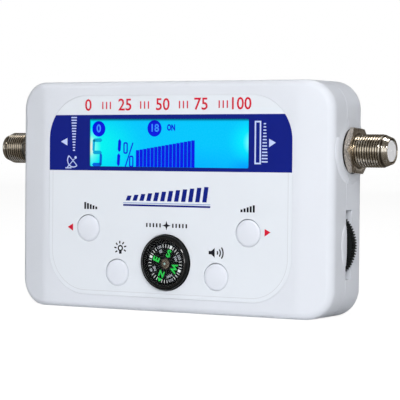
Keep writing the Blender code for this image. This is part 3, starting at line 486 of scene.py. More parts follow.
def lettered(
    text: str, size: float, centre: Point, depth: float = 0, turn: float = 0, bold: float = 0, width: float = 1,
) -> Thing:
    """Printed plain letters or digits.

    Args:
        text: What is written.
        size: Size of the type in millimetres.
        centre: Middle of the text across and up the box, in millimetres.
        depth: Depth of the surface that it is printed on.
        turn: Anticlockwise turn in radians, as seen from the front.
        bold: How far each stroke is swollen, in millimetres.
        width: Width of the letters against their usual width.

    Returns:
        The letters in their place.
    """
    curve = bpy.data.curves.new("letters", "FONT")
    curve.body, curve.size, curve.offset = text, size * MM, bold * MM
    curve.align_x = curve.align_y = "CENTER"
    curve.extrude, curve.resolution_u = INK_DEPTH / 2, 3
    place = in_ink(depth, metres(centre), turn) @ Matrix.Diagonal((width, 1, 1, 1))
    return settle(link_object("letters", curve), place)


# Node trees

class NodeSheet:
    """A node tree that is filled by short calls."""

    def __init__(self, tree: bpy.types.NodeTree) -> None:
        """Keep the tree and, in a material, its shader."""
        self.tree = tree
        self.shader = tree.nodes.get("Principled BSDF")

    def fill(self, node: bpy.types.Node, inputs: dict) -> bpy.types.Node:
        """Link a node's inputs or set their values.

        Args:
            node: The node.
            inputs: Sockets to link from, or plain values, by input name or number.

        Returns:
            The same node.
        """
        for key, value in inputs.items():
            socket = node.inputs[key]
            if isinstance(value, Link):
                self.tree.links.new(value, socket)
            elif socket.type == "RGBA" and len(value) == 3:
                socket.default_value = (*value, 1.0)
            else:
                socket.default_value = value
        return node

    def node(self, kind: str, inputs: Optional[dict] = None, **settings: object) -> bpy.types.Node:
        """Add a node.

        Args:
            kind: The node's type.
            inputs: Links or values by input name or number.
            **settings: Properties of the node.

        Returns:
            The node.
        """
        node = self.tree.nodes.new(kind)
        for key, value in settings.items():
            setattr(node, key, value)
        return self.fill(node, inputs or {})

    def math(self, operation: str, *values: Value) -> Link:
        """A Math node's result."""
        return self.node("ShaderNodeMath", dict(enumerate(values)), operation=operation).outputs[0]

    def length(self, first: Value, second: Value) -> Link:
        """The long side of a right-angled triangle."""
        squares = [self.math("MULTIPLY", value, value) for value in (first, second)]
        return self.math("SQRT", self.math("ADD", *squares))

    def vector(self, *values: Value) -> Link:
        """A vector from up to three numbers."""
        return self.node("ShaderNodeCombineXYZ", dict(enumerate(values))).outputs[0]

    def vector_math(self, operation: str, inputs: dict) -> Link:
        """A Vector Math node's result."""
        return self.node("ShaderNodeVectorMath", inputs, operation=operation).outputs[0]

    def split(self, vector: Link) -> Sequence[Link]:
        """A vector's three numbers."""
        return self.node("ShaderNodeSeparateXYZ", {0: vector}).outputs

    def remap(self, value: Value, low: float, high: float, new_low: Value = 0, new_high: Value = 1) -> Link:
        """A smooth change from one value at a low limit to another at a high limit."""
        inputs = {"Value": value, "From Min": low, "From Max": high, "To Min": new_low, "To Max": new_high}
        return self.node("ShaderNodeMapRange", inputs, interpolation_type="SMOOTHSTEP").outputs[0]

    def vary(self, noise: Link, low: float, high: float) -> Link:
        """A value that noise moves between two limits."""
        return self.remap(noise, 0.3, 0.7, low, high)

    def blend(self, factor: Value, first: Value, second: Value) -> Link:
        """A colour between two colours."""
        return self.node("ShaderNodeMix", {0: factor, 6: first, 7: second}, data_type="RGBA").outputs[2]

    def object_place(self) -> Link:
        """The object coordinates, which are the meter's own metres."""
        return self.node("ShaderNodeTexCoord").outputs["Object"]

    def noise(self, place: Link, scale: Value, detail: float = 2) -> Link:
        """Noise between 0 and 1."""
        return self.node("ShaderNodeTexNoise", {"Vector": place, "Scale": scale, "Detail": detail}).outputs["Fac"]

    def scaled(self, colour: Triple, tone: Link) -> Link:
        """A colour made lighter or darker by a tone."""
        return self.vector_math("SCALE", {0: colour, "Scale": tone})

    def group(self, name: str, inputs: dict) -> Links:
        """A shared effect's results, for a finish's own values."""
        return self.node("ShaderNodeGroup", inputs, node_tree=SHADER_GROUPS[name]).outputs

    def surface(self, height: Optional[Link] = None, depth: float = 0, **inputs: Value) -> None:
        """Set the shader's inputs.

        Args:
            height: Pattern that raises the surface.
            depth: Height of the pattern in metres.
            **inputs: Values by input name, with underscores for spaces.
        """
        self.fill(self.shader, {key.replace("_", " "): value for key, value in inputs.items()})
        if height is not None:
            bump = self.node("ShaderNodeBump", {"Height": height, "Distance": depth, "Strength": 1.0})
            self.fill(self.shader, {"Normal": bump.outputs[0]})

    def seen(self) -> Link:
        """Tell the rays that see the white background: camera, glossy and transmission rays.

        Returns:
            1 for such a ray, and 0 for any other.
        """
        rays = self.node("ShaderNodeLightPath").outputs
        seen = self.math("MAXIMUM", rays["Is Camera Ray"], rays["Is Glossy Ray"])
        return self.math("MAXIMUM", seen, rays["Is Transmission Ray"])


Draw = Callable[[NodeSheet, Links], Union[Link, Sequence[Link]]]


def new_group(name: str, kind: str, inputs: dict, outputs: dict, draw: Draw) -> bpy.types.NodeTree:
    """Make a node group with named sockets.

    Args:
        name: The group's name.
        kind: Type of the node tree.
        inputs: Kinds of its inputs by name.
        outputs: Kinds of its outputs by name.
        draw: Fills the tree, and gives its results in the outputs' order.

    Returns:
        The tree.
    """
    tree = bpy.data.node_groups.new(name, kind)
    for direction, sockets in (("INPUT", inputs), ("OUTPUT", outputs)):
        for label, socket_kind in sockets.items():
            tree.interface.new_socket(label, in_out=direction, socket_type=socket_kind.value)
    sheet = NodeSheet(tree)
    source = sheet.node("NodeGroupInput").outputs
    results = draw(sheet, {label: source[label] for label in inputs})
    sheet.node("NodeGroupOutput", dict(zip(outputs, results)))
    return tree


# Effects that several finishes share

def moulded_grain(sheet: NodeSheet, inputs: Links) -> Sequence[Link]:
    """Fine texture of a moulded surface, with slow changes of tone.

    Args:
        sheet: The group's nodes.
        inputs: Place, Grain Scale, Mottle Scale and Mottle.

    Returns:
        Height and tone.
    """
    mottle = sheet.math("SUBTRACT", sheet.noise(inputs["Place"], inputs["Mottle Scale"], 3), 0.5)
    tone = sheet.math("ADD", 1.0, sheet.math("MULTIPLY", mottle, inputs["Mottle"]))
    return sheet.noise(inputs["Place"], inputs["Grain Scale"]), tone


def shop_dust(sheet: NodeSheet, inputs: Links) -> Sequence[Link]:
    """Faint dust that lies on faces that look up.

    Args:
        sheet: The group's nodes.
        inputs: Place and Amount.

    Returns:
        The mask.
    """
    up = sheet.split(sheet.node("ShaderNodeNewGeometry").outputs["Normal"])["Z"]
    patch = sheet.remap(sheet.noise(inputs["Place"], 1 / 0.004, 4), 0.4, 0.7)
    lying = sheet.math("MULTIPLY", sheet.remap(up, 0.2, 1.0), patch)
    return [sheet.math("MULTIPLY", lying, inputs["Amount"])]


def tool_lines(sheet: NodeSheet, inputs: Links) -> Sequence[Link]:
    """Fine lines left by turning or rolling, with stains between them.

    Args:
        sheet: The group's nodes.
        inputs: Place, Stretch and Stain Scale.

    Returns:
        Height and stain.
    """
    drawn = sheet.vector_math("MULTIPLY", {0: inputs["Place"], 1: inputs["Stretch"]})
    stain = sheet.noise(inputs["Place"], inputs["Stain Scale"], 4)
    return sheet.noise(drawn, 1.0, 3), sheet.remap(stain, 0.45, 0.75)


SHADER_GROUPS = {
    draw.__name__: new_group(draw.__name__, "ShaderNodeTree", inputs, outputs, draw)
    for draw, inputs, outputs in (
        (moulded_grain, {"Place": VECTOR, "Grain Scale": FLOAT, "Mottle Scale": FLOAT, "Mottle": FLOAT},
         {"Height": FLOAT, "Tone": FLOAT}),
        (shop_dust, {"Place": VECTOR, "Amount": FLOAT}, {"Mask": FLOAT}),
        (tool_lines, {"Place": VECTOR, "Stretch": VECTOR, "Stain Scale": FLOAT}, {"Height": FLOAT, "Stain": FLOAT}),
    )
}


# Finishes

def new_material(name: str) -> tuple[bpy.types.Material, NodeSheet]:
    """Make a material with a Principled shader.

    Args:
        name: Its name.

    Returns:
        The material and its nodes.
    """
    made = bpy.data.materials.new(name)
    made.use_nodes = True
    return made, NodeSheet(made.node_tree)


@dataclass(frozen=True)
class Finish:
    """A finish by name, with what every finish has."""

    name: str
    colour: Triple
    roughness: float

    def material(self) -> bpy.types.Material:
        """The finish's material, made once.

        Returns:
            The material with its nodes.
        """
        label = "look_" + self.name
        made = bpy.data.materials.get(label)
        if not made:
            made, sheet = new_material(label)
            made.diffuse_color = (*self.colour, 1.0)
            self.dress(sheet)
        return made

    def dress(self, sheet: NodeSheet) -> None:
        """Set the plain colour."""
        sheet.surface(Base_Color=self.colour, Roughness=self.roughness)


@dataclass(frozen=True)
class MouldedPlastic(Finish):
    """Injection-moulded plastic with a fine grain, slow changes of tone and a little dust."""

    grain: float = 0.00022
    relief: float = 0.000003
    mottle: float = 0.03
    mottle_size: float = 0.012
    dust: float = 0.10
    coat: float = 0.0
    specular: float = 0.3
    spread: float = 0.04
    dust_colour: Triple = (0.55, 0.53, 0.50)

    def dress(self, sheet: NodeSheet) -> None:
        """Put the grain, tone and dust in the material.

        Args:
            sheet: The material's nodes.
        """
        place = sheet.object_place()
        sizes = {"Grain Scale": 1 / self.grain, "Mottle Scale": 1 / self.mottle_size, "Mottle": self.mottle}
        grain = sheet.group("moulded_grain", {"Place": place, **sizes})
        dust = sheet.group("shop_dust", {"Place": place, "Amount": self.dust})["Mask"]
        rough = sheet.vary(grain["Height"], self.roughness - self.spread, self.roughness + self.spread)
        sheet.surface(
            grain["Height"], self.relief, Roughness=sheet.math("MAXIMUM", rough, dust),
            Base_Color=sheet.blend(dust, sheet.scaled(self.colour, grain["Tone"]), self.dust_colour),
            Coat_Weight=self.coat, Specular_IOR_Level=self.specular,
        )


@dataclass(frozen=True)
class Ink(MouldedPlastic):
    """Screen-printed ink, a little uneven in its cover."""

    grain: float = 1 / 9000
    relief: float = 0.000002
    mottle: float = 0.05
    mottle_size: float = 1 / 700
    dust: float = 0.0
    specular: float = 0.12
    spread: float = 0.05


@dataclass(frozen=True)
class Thread:
    """A thread along X, darkened in its grooves by dirt and painted shade: its axis in Y and Z, its radii and its end.
    """

    axis: Point = (0.00337, 0.04819)
    root: float = 0.0043
    crest: float = 0.0047625
    end: float = 0.0652
    fade: float = 0.0002


@dataclass(frozen=True)
class Metal(Finish):
    """Bare or plated metal with tool lines and stains."""

    stain: Triple = (0.3, 0.27, 0.22)
    stain_amount: float = 0.4
    stain_size: float = 0.002
    stretch: Triple = (9000.0, 600.0, 600.0)
    relief: float = 0.000004
    spread: float = 0.06
    thread: Optional[Thread] = None

    def dress(self, sheet: NodeSheet) -> None:
        """Put the lines and stains in the material.

        Args:
            sheet: The material's nodes.
        """
        values = {"Place": sheet.object_place(), "Stretch": self.stretch, "Stain Scale": 1 / self.stain_size}
        lines = sheet.group("tool_lines", values)
        mask = sheet.math("MULTIPLY", lines["Stain"], self.stain_amount)
        colour = sheet.blend(mask, self.colour, self.stain)
        if self.thread:
            # Darker low in the grooves: partly dirt, partly painted shade.
            colour = sheet.blend(self.grime(sheet), colour, tuple(value * 0.4 for value in self.stain))
        rough = sheet.vary(lines["Height"], self.roughness - self.spread, self.roughness + self.spread)
        rough = sheet.math("ADD", rough, sheet.math("MULTIPLY", mask, 0.2))
        sheet.surface(lines["Height"], self.relief, Base_Color=colour, Roughness=rough, Metallic=1.0)

    def grime(self, sheet: NodeSheet) -> Link:
        """Mask of the dark dirt and painted shade low in the thread.

        Args:
            sheet: The material's nodes.

        Returns:
            1 in the grooves, 0 on the crests and past the thread's end.
        """
        thread, height = self.thread, self.thread.crest - self.thread.root
        along, *across = sheet.split(sheet.object_place())
        radius = sheet.length(*(sheet.math("SUBTRACT", a, b) for a, b in zip(across, thread.axis)))
        deep = sheet.remap(radius, thread.root + height * 0.1, thread.root + height * 0.6, 1.0, 0.0)
        inside = sheet.remap(sheet.math("ABSOLUTE", along), thread.end - thread.fade, thread.end, 1.0, 0.0)
        return sheet.math("MULTIPLY", deep, inside)


@dataclass(frozen=True)
class ClearPlastic(Finish):
    """Clear plastic that lets the lamps' light through to what lies behind it."""

    index: float = 1.35
    smear: float = 0.02
    specular: float = 0.5

    def dress(self, sheet: NodeSheet) -> None:
        """Make the material clear, with faint smears.

        Args:
            sheet: The material's nodes.
        """
        smears = sheet.noise(sheet.object_place(), 1 / 0.003, 4)
        rough = sheet.remap(smears, 0.4, 0.8, self.roughness, self.roughness + self.smear)
        sheet.surface(
            Base_Color=self.colour, Transmission_Weight=1.0, IOR=self.index, Roughness=rough,
            Specular_IOR_Level=self.specular,
        )
        through = sheet.node("ShaderNodeBsdfTransparent", {"Color": self.colour}).outputs[0]
        shadow = sheet.node("ShaderNodeLightPath").outputs["Is Shadow Ray"]
        mix = sheet.node("ShaderNodeMixShader", {0: shadow, 1: sheet.shader.outputs[0], 2: through})
        sheet.fill(sheet.tree.nodes["Material Output"], {"Surface": mix.outputs[0]})


@dataclass(frozen=True)
class Glow:
    """A patch of light behind the display, in millimetres across and up the box."""

    centre: Point
    reach: Point
    colour: Triple
    strength: float = 1.0


@dataclass(frozen=True)
class LitDisplay(Finish):
    """Display lit from its two ends, with painted shadow along its upper edge and on the window's walls near the front
    face.
    """

    glows: tuple[Glow, ...] = ()
    top: float = 0.0
    shade_height: float = 0.0011
    shade_depth: float = 0.0007
    shade: Triple = (0.0, 0.035, 0.055)

    def dress(self, sheet: NodeSheet) -> None:
        """Put the patches of light in the material.

        Args:
            sheet: The material's nodes.
        """
        across, inwards, up = sheet.split(sheet.object_place())
        light = self.colour
        for glow in self.glows:
            middle = (glow.centre[0] * MM, CASE.middle_z + glow.centre[1] * MM)
            away = [
                sheet.math("DIVIDE", sheet.math("SUBTRACT", place, centre), reach * MM)
                for place, centre, reach in zip((across, up), middle, glow.reach)
            ]
            light = sheet.blend(sheet.remap(sheet.length(*away), 1.0, 0.0, 0.0, glow.strength), light, glow.colour)
        # Painted shadow: the strip under the window's top edge and the walls near the front face are blended to the
        # shadow colour.
        rim = sheet.remap(up, self.top - self.shade_height, self.top)
        lip = sheet.remap(inwards, CASE.front_y, CASE.front_y + self.shade_depth, 1.0, 0.0)
        grain = sheet.noise(sheet.object_place(), 1 / 0.0004, 1)
        sheet.surface(
            Emission_Color=sheet.blend(sheet.math("MAXIMUM", rim, lip), light, self.shade), Emission_Strength=1.0,
            Specular_IOR_Level=0.05, Base_Color=(0.0, 0.02, 0.03),
            Roughness=sheet.vary(grain, self.roughness, self.roughness + 0.06),
        )


@dataclass(frozen=True)
class CircuitBoard(Finish):
    """Solder mask over copper tracks."""

    track: Triple = (0.02, 0.13, 0.06)
    pitch: float = 0.0011

    def dress(self, sheet: NodeSheet) -> None:
        """Put the tracks in the material.

        Args:
            sheet: The material's nodes.
        """
        place = sheet.object_place()
        cells = {"Vector": place, "Scale": 1 / self.pitch, "Randomness": 0.3}
        distance = sheet.node("ShaderNodeTexVoronoi", cells, distance="CHEBYCHEV").outputs["Distance"]
        mask = sheet.remap(distance, 0.35, 0.45)
        rough = sheet.vary(sheet.noise(place, 1 / 0.0006), self.roughness, self.roughness + 0.15)
        sheet.surface(mask, 0.00002, Base_Color=sheet.blend(mask, self.colour, self.track), Roughness=rough)


CASE_WHITE = MouldedPlastic("case_white", srgb(222, 226, 234), 0.42)
BUTTON_WHITE = MouldedPlastic("button_white", srgb(226, 230, 239), 0.36, dust=0.04)
LABEL_WHITE = MouldedPlastic(
    "label_white", srgb(227, 232, 239), 0.4, grain=0.0003, mottle=0.015, dust=0.0, specular=0.15,
)
BLACK_GLOSS = MouldedPlastic("black_gloss", (0.006, 0.007, 0.007), 0.22, mottle=0.1, dust=0.02, specular=0.12)
BLACK_LIP = MouldedPlastic("black_lip", (0.006, 0.006, 0.006), 0.1, mottle=0.1, dust=0.0, coat=1.0, specular=0.5)
BLACK_SATIN = MouldedPlastic("black_satin", (0.006, 0.008, 0.008), 0.42, mottle=0.2, dust=0.05, specular=0.12)
DIAL_BLACK = MouldedPlastic("dial_black", (0.004, 0.005, 0.006), 0.8, mottle=0.2, dust=0.0, specular=0.02)
PLUG_WHITE = MouldedPlastic("plug_white", (0.90, 0.90, 0.92), 0.5, mottle=0.05, dust=0.0)
RUBBER = MouldedPlastic("strip_rubber", (0.26, 0.26, 0.28), 0.75, grain=0.0001, mottle=0.2)
SLEEVE = MouldedPlastic("capacitor_sleeve_blue", (0.04, 0.07, 0.26), 0.3, mottle=0.1, coat=0.3)
GUIDE = MouldedPlastic("light_guide_acrylic", (0.82, 0.86, 0.88), 0.2, mottle=0.02, coat=0.5)
# The pivot's pale tone is partly a painted highlight in the middle of the cap.
PIVOT_HIGHLIGHT_JEWEL = MouldedPlastic("pivot_jewel", srgb(150, 190, 185), 0.15, dust=0.0, coat=0.5)
NAVY = Ink("navy_ink", srgb(12, 28, 126), 0.36)
WHITE_INK = Ink("white_ink", srgb(196, 210, 247), 0.4)
RED_INK = Ink("red_ink", srgb(206, 24, 52), 0.4)
BLACK_INK = Ink("black_ink", srgb(26, 26, 34), 0.42)
# Grey for a painted shade line along the label's edge, not an ink.
SHADE_LINE_GREY = Ink("pale_ink", srgb(205, 208, 214), 0.4)
SKY_INK = Ink("sky_ink", srgb(120, 150, 205), 0.4)
DIAL_WHITE = Ink("dial_white", srgb(236, 240, 240), 0.45)
DIAL_GREY = Ink("dial_grey", srgb(192, 196, 204), 0.45)
DIAL_GREEN = Ink("dial_green", srgb(36, 206, 78), 0.45)
DIGIT_BLUE = Ink("digit_blue", srgb(0, 20, 225), 0.3)
DISC_BLUE = Ink("disc_blue", srgb(60, 150, 255), 0.3)
DIGIT_TEAL = Ink("digit_teal", srgb(0, 165, 215), 0.3)
DIGIT_MIXED = Ink("digit_mixed", srgb(0, 95, 215), 0.3)
NICKEL = Metal("nickel_plate", (0.86, 0.80, 0.70), 0.18, (0.40, 0.34, 0.26), 0.35, thread=Thread())
NUT_PLATE = Metal("nut_plate", (0.70, 0.63, 0.55), 0.28, (0.35, 0.30, 0.25), 0.25, stretch=(3000.0, 3000.0, 900.0))
DARK_STEEL = Metal("dark_steel", (0.07, 0.065, 0.06), 0.4, (0.02, 0.018, 0.016), 0.6)
DULL_STEEL = Metal("dull_steel", (0.20, 0.20, 0.185), 0.5, (0.12, 0.11, 0.10), 0.4)
ZINC = Metal("zinc_plate", (0.55, 0.56, 0.58), 0.3, (0.35, 0.33, 0.28), 0.3)
TIN = Metal("dull_tin", (0.60, 0.61, 0.62), 0.38, (0.4, 0.39, 0.36), 0.4, 0.006, (300.0, 300.0, 5000.0))
BRASS = Metal("turned_brass", (0.55, 0.43, 0.25), 0.25, (0.3, 0.2, 0.1), 0.4)
AGED_BRASS = Metal("aged_brass", (0.13, 0.105, 0.08), 0.2, (0.06, 0.05, 0.038), 0.5, 0.0008)
LENS = ClearPlastic("clear_lens", (0.97, 0.98, 0.985), 0.0, index=1.16, specular=0.0)
MASK_GREEN = CircuitBoard("solder_mask", (0.02, 0.2, 0.08), 0.3)


# Geometry Nodes

@dataclass(frozen=True)
class Copies:
    """Shapes repeated in a ring, a row or a rectangle, or a thread wound on a barrel."""

    draw: Draw
    kinds: dict[str, Kind]

    def finished(self, sheet: NodeSheet, inputs: Links) -> Sequence[Link]:
        """The drawn geometry, realized and in its finish."""
        whole = sheet.node("GeometryNodeRealizeInstances", {0: self.draw(sheet, inputs)}).outputs[0]
        return [sheet.node("GeometryNodeSetMaterial", {0: whole, "Material": inputs["Finish"]}).outputs[0]]

    def make(self, name: str, finish: Finish, place: Matrix, **values: Value) -> Thing:
        """Run the tree with its sizes and keep the result as a plain mesh.

        Args:
            name: The object's name.
            finish: What the copies are made of.
            place: Where the local points go.
            **values: Inputs by name, with underscores for spaces.

        Returns:
            The mesh object at the origin.
        """
        label, inputs = self.draw.__name__, {**self.kinds, "Finish": MATERIAL}
        tree = bpy.data.node_groups.get(label)
        tree = tree or new_group(label, "GeometryNodeTree", inputs, {"Geometry": GEOMETRY}, self.finished)
        thing = link_object(name, bpy.data.meshes.new(name))
        modifier = thing.modifiers.new("copies", "NODES")
        modifier.node_group = tree
        wanted = {"Finish": finish.material(), **{key.replace("_", " "): value for key, value in values.items()}}
        for item in tree.interface.items_tree:
            if item.in_out == "INPUT":
                modifier[item.identifier] = wanted[item.name]
        settle(thing, place)
        if "Item" in values:
            bpy.data.objects.remove(values["Item"])
        return thing


def copied(sheet: NodeSheet, inputs: Links, points: Link, **values: Link) -> Link:
    """Copies of the repeated item on points."""
    item = sheet.node("GeometryNodeObjectInfo", {"Object": inputs["Item"]}).outputs["Geometry"]
    return sheet.node("GeometryNodeInstanceOnPoints", {"Points": points, "Instance": item, **values}).outputs[0]


def points_at(sheet: NodeSheet, inputs: Links, place: Link) -> Link:
    """The wanted number of points at a place that depends on their index."""
    return sheet.node("GeometryNodePoints", {"Count": inputs["Count"], "Position": place}).outputs[0]


def ring_of_items(sheet: NodeSheet, inputs: Links) -> Link:
    """Items round a ring, each turned to point outwards.

    Args:
        sheet: The tree's nodes.
        inputs: Item, Count, Radius, Start and Step.

    Returns:
        The instances.
    """
    index = sheet.node("GeometryNodeInputIndex").outputs[0]
    angle = sheet.math("ADD", inputs["Start"], sheet.math("MULTIPLY", index, inputs["Step"]))
    place = [sheet.math("MULTIPLY", sheet.math(wave, angle), inputs["Radius"]) for wave in ("COSINE", "SINE")]
    points = points_at(sheet, inputs, sheet.vector(*place))
    return copied(sheet, inputs, points, Rotation=sheet.vector(0.0, 0.0, angle))


def row_of_items(sheet: NodeSheet, inputs: Links) -> Link:
    """Items in a row that grow evenly from the first to the last.

    Args:
        sheet: The tree's nodes.
        inputs: Item, Count, Start, Step, First Scale and Last Scale.

    Returns:
        The instances.
    """
    index = sheet.node("GeometryNodeInputIndex").outputs[0]
    move = sheet.vector_math("SCALE", {0: inputs["Step"], "Scale": index})
    points = points_at(sheet, inputs, sheet.vector_math("ADD", {0: inputs["Start"], 1: move}))
    steps = sheet.math("MAXIMUM", sheet.math("SUBTRACT", inputs["Count"], 1.0), 1.0)
    sizes = {0: sheet.math("DIVIDE", index, steps), 4: inputs["First Scale"], 5: inputs["Last Scale"]}
    return copied(sheet, inputs, points, Scale=sheet.node("ShaderNodeMix", sizes, data_type="VECTOR").outputs[1])


def corners_of_items(sheet: NodeSheet, inputs: Links) -> Link:
    """Items at the corners of a rectangle with a Width and a Height."""
    sizes = {"Size X": inputs["Width"], "Size Y": inputs["Height"], "Vertices X": 2, "Vertices Y": 2}
    return copied(sheet, inputs, sheet.node("GeometryNodeMeshGrid", sizes).outputs[0])


def wound_thread(sheet: NodeSheet, inputs: Links) -> Link:
    """A ridge of triangular section wound on a barrel, with its crests cut down at the nose.

    Args:
        sheet: The tree's nodes.
        inputs: Root Radius, Depth, Pitch, Turns, Cone Start and Cone Slope.

    Returns:
        The ridge.
    """
    root, depth = inputs["Root Radius"], inputs["Depth"]
    helix = sheet.node("GeometryNodeCurveSpiral", {
        "Resolution": 48, "Rotations": inputs["Turns"], "Start Radius": root, "End Radius": root,
        "Height": sheet.math("MULTIPLY", inputs["Pitch"], inputs["Turns"]),
    }).outputs[0]
    helix = sheet.node("GeometryNodeSetCurveNormal", {0: helix}, mode="Z_UP").outputs[0]
    half = sheet.math("MULTIPLY", inputs["Pitch"], 0.49)
    section = {
        f"Point {number}": sheet.vector(sheet.math("MULTIPLY", depth, rise), sheet.math("MULTIPLY", half, across))
        for number, (rise, across) in enumerate(((0.2, 1.0), (-1.0, 0.16), (-1.0, -0.16), (0.2, -1.0)), 1)
    }
    side = sheet.node("GeometryNodeCurvePrimitiveQuadrilateral", section, mode="POINTS").outputs[0]
    swept = {"Curve": helix, "Profile Curve": side, "Fill Caps": True}
    ridge = sheet.node("GeometryNodeCurveToMesh", swept).outputs[0]
    x, y, z = sheet.split(sheet.node("GeometryNodeInputPosition").outputs[0])
    past = sheet.math("MAXIMUM", sheet.math("SUBTRACT", z, inputs["Cone Start"]), 0.0)
    cut = sheet.math("MULTIPLY", past, inputs["Cone Slope"])
    limit = sheet.math("SUBTRACT", sheet.math("ADD", root, depth), cut)
    share = sheet.math("MINIMUM", sheet.math("DIVIDE", limit, sheet.length(x, y)), 1.0)
    place = sheet.vector(sheet.math("MULTIPLY", x, share), sheet.math("MULTIPLY", y, share), z)
    return sheet.node("GeometryNodeSetPosition", {"Geometry": ridge, "Position": place}).outputs[0]


RING = Copies(ring_of_items, {"Item": OBJECT, "Count": INTEGER, "Radius": FLOAT, "Start": FLOAT, "Step": FLOAT})
ROW = Copies(row_of_items, {
    "Item": OBJECT, "Count": INTEGER, "Start": VECTOR, "Step": VECTOR, "First Scale": VECTOR, "Last Scale": VECTOR,
})
CORNERS = Copies(corners_of_items, {"Item": OBJECT, "Width": FLOAT, "Height": FLOAT})
THREAD = Copies(wound_thread, {
    "Root Radius": FLOAT, "Depth": FLOAT, "Pitch": FLOAT, "Turns": FLOAT, "Cone Start": FLOAT, "Cone Slope": FLOAT,
})


def bar_shape(width: float = 1, height: float = 1, depth: float = INK_DEPTH, lean: float = 0) -> Thing:
    """A flat bar that stands on its foot, for a tree to repeat.

    Args:
        width: Size across.
        height: Size from foot to head.
        depth: Thickness about the middle.
        lean: How far the head stands to the right of the foot.

    Returns:
        The bar.
    """
    half, thick = width / 2, depth / 2
    foot = [Vector((x, 0, z)) for x, z in rectangle(-half, -thick, half, thick)]
    return capped("bar", [foot, [point + Vector((lean, height, 0)) for point in foot]])


def row_of_bars(
    finish: Finish, count: int, start: Point, step: Point, first: Point, last: Optional[Point] = None,
    depth: float = 0, lean: float = 0,
) -> Thing:
    """Printed bars in a row.

    Args:
        finish: Their ink.
        count: How many there are.
        start: Foot of the first one, in millimetres across and up the box.
        step: From one foot to the next, in millimetres.
        first: Width and height of the first one, in millimetres.
        last: Width and height of the last one, or nothing if all are alike.
        depth: Depth of the surface that they are printed on.
        lean: How far each head stands to the right, as a share of the width.

    Returns:
        The bars in their place.
    """
    return ROW.make(
        "bars", finish, in_ink(depth), Item=bar_shape(lean=lean), Count=count, Start=Vector((*metres(start), 0)),
        Step=Vector((*metres(step), 0)), First_Scale=Vector((*metres(first), 1)),
        Last_Scale=Vector((*metres(last or first), 1)),
    )


def fit(
    thing: Thing, finish: Finish, body: Body = Body.HOUSING, stands_for: Sequence[str] = (),
) -> None:
    """Dress a finished piece, hang it on its body and hide the nodes that it replaces.

    Args:
        thing: The piece.
        finish: Its finish.
        body: The body that it rides on.
        stands_for: The nodes that it replaces.
    """
    thing.data.materials.clear()
    thing.data.materials.append(finish.material())
    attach(thing, body.value)
    if stands_for:
        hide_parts(*stands_for)
    LOG.info("%s: %d faces on %s", thing.name, len(thing.data.polygons), body.value)


@dataclass(frozen=True)
class FaceLayout:
    """Where the openings and the label lie on the front face."""

    label_half: Point = (0.0417, 0.0299)
    label_corner: float = 0.0131
    window_middle: Point = (0.0002, 0.01587)
    window_half: Point = (0.0274, 0.0072)
    window_corner: float = 0.0004
    button_hole: float = 0.00409
    hole_shift: Point = (0.00006, 0.00010)
    compass_hole: float = 0.0084
    compass: Point = (0.0, -0.01937)
    buttons: tuple[tuple[Body, Point], ...] = (
        (Body.UPPER_LEFT, (-0.027498, -0.009987)), (Body.LOWER_LEFT, (-0.0170, -0.0230)),
        (Body.UPPER_RIGHT, (0.027498, -0.009987)), (Body.LOWER_RIGHT, (0.0170, -0.0230)),
    )

    def label(self, extra: float = 0) -> list[Point]:
        """Outline of the label, grown by a margin."""
        half = (self.label_half[0] + extra, self.label_half[1] + extra)
        return round_rectangle(half, self.label_corner + extra, 24)

    def window(self, extra: float = 0) -> list[Point]:
        """Outline of the window, grown by a margin."""
        half = (self.window_half[0] + extra, self.window_half[1] + extra)
        return round_rectangle(half, self.window_corner, 4, self.window_middle)

    def openings(self) -> list[list[Point]]:
        """Outlines of the holes in the face; the button holes sit a little above the caps.

        Returns:
            The window, the four button holes and the compass hole.
        """
        spots = [(x + self.hole_shift[0], z + self.hole_shift[1]) for _, (x, z) in self.buttons]
        holes = [circle(spot, self.button_hole, 96) for spot in spots]
        return [self.window(), *holes, circle(self.compass, self.compass_hole, 128)]


FACE = FaceLayout()


@dataclass(frozen=True)
class Ring:
    """One ring of a shell: how far it is drawn in, its depth, and whether it falls back at the ends."""

    inset: float
    depth: float
    falls: bool = False


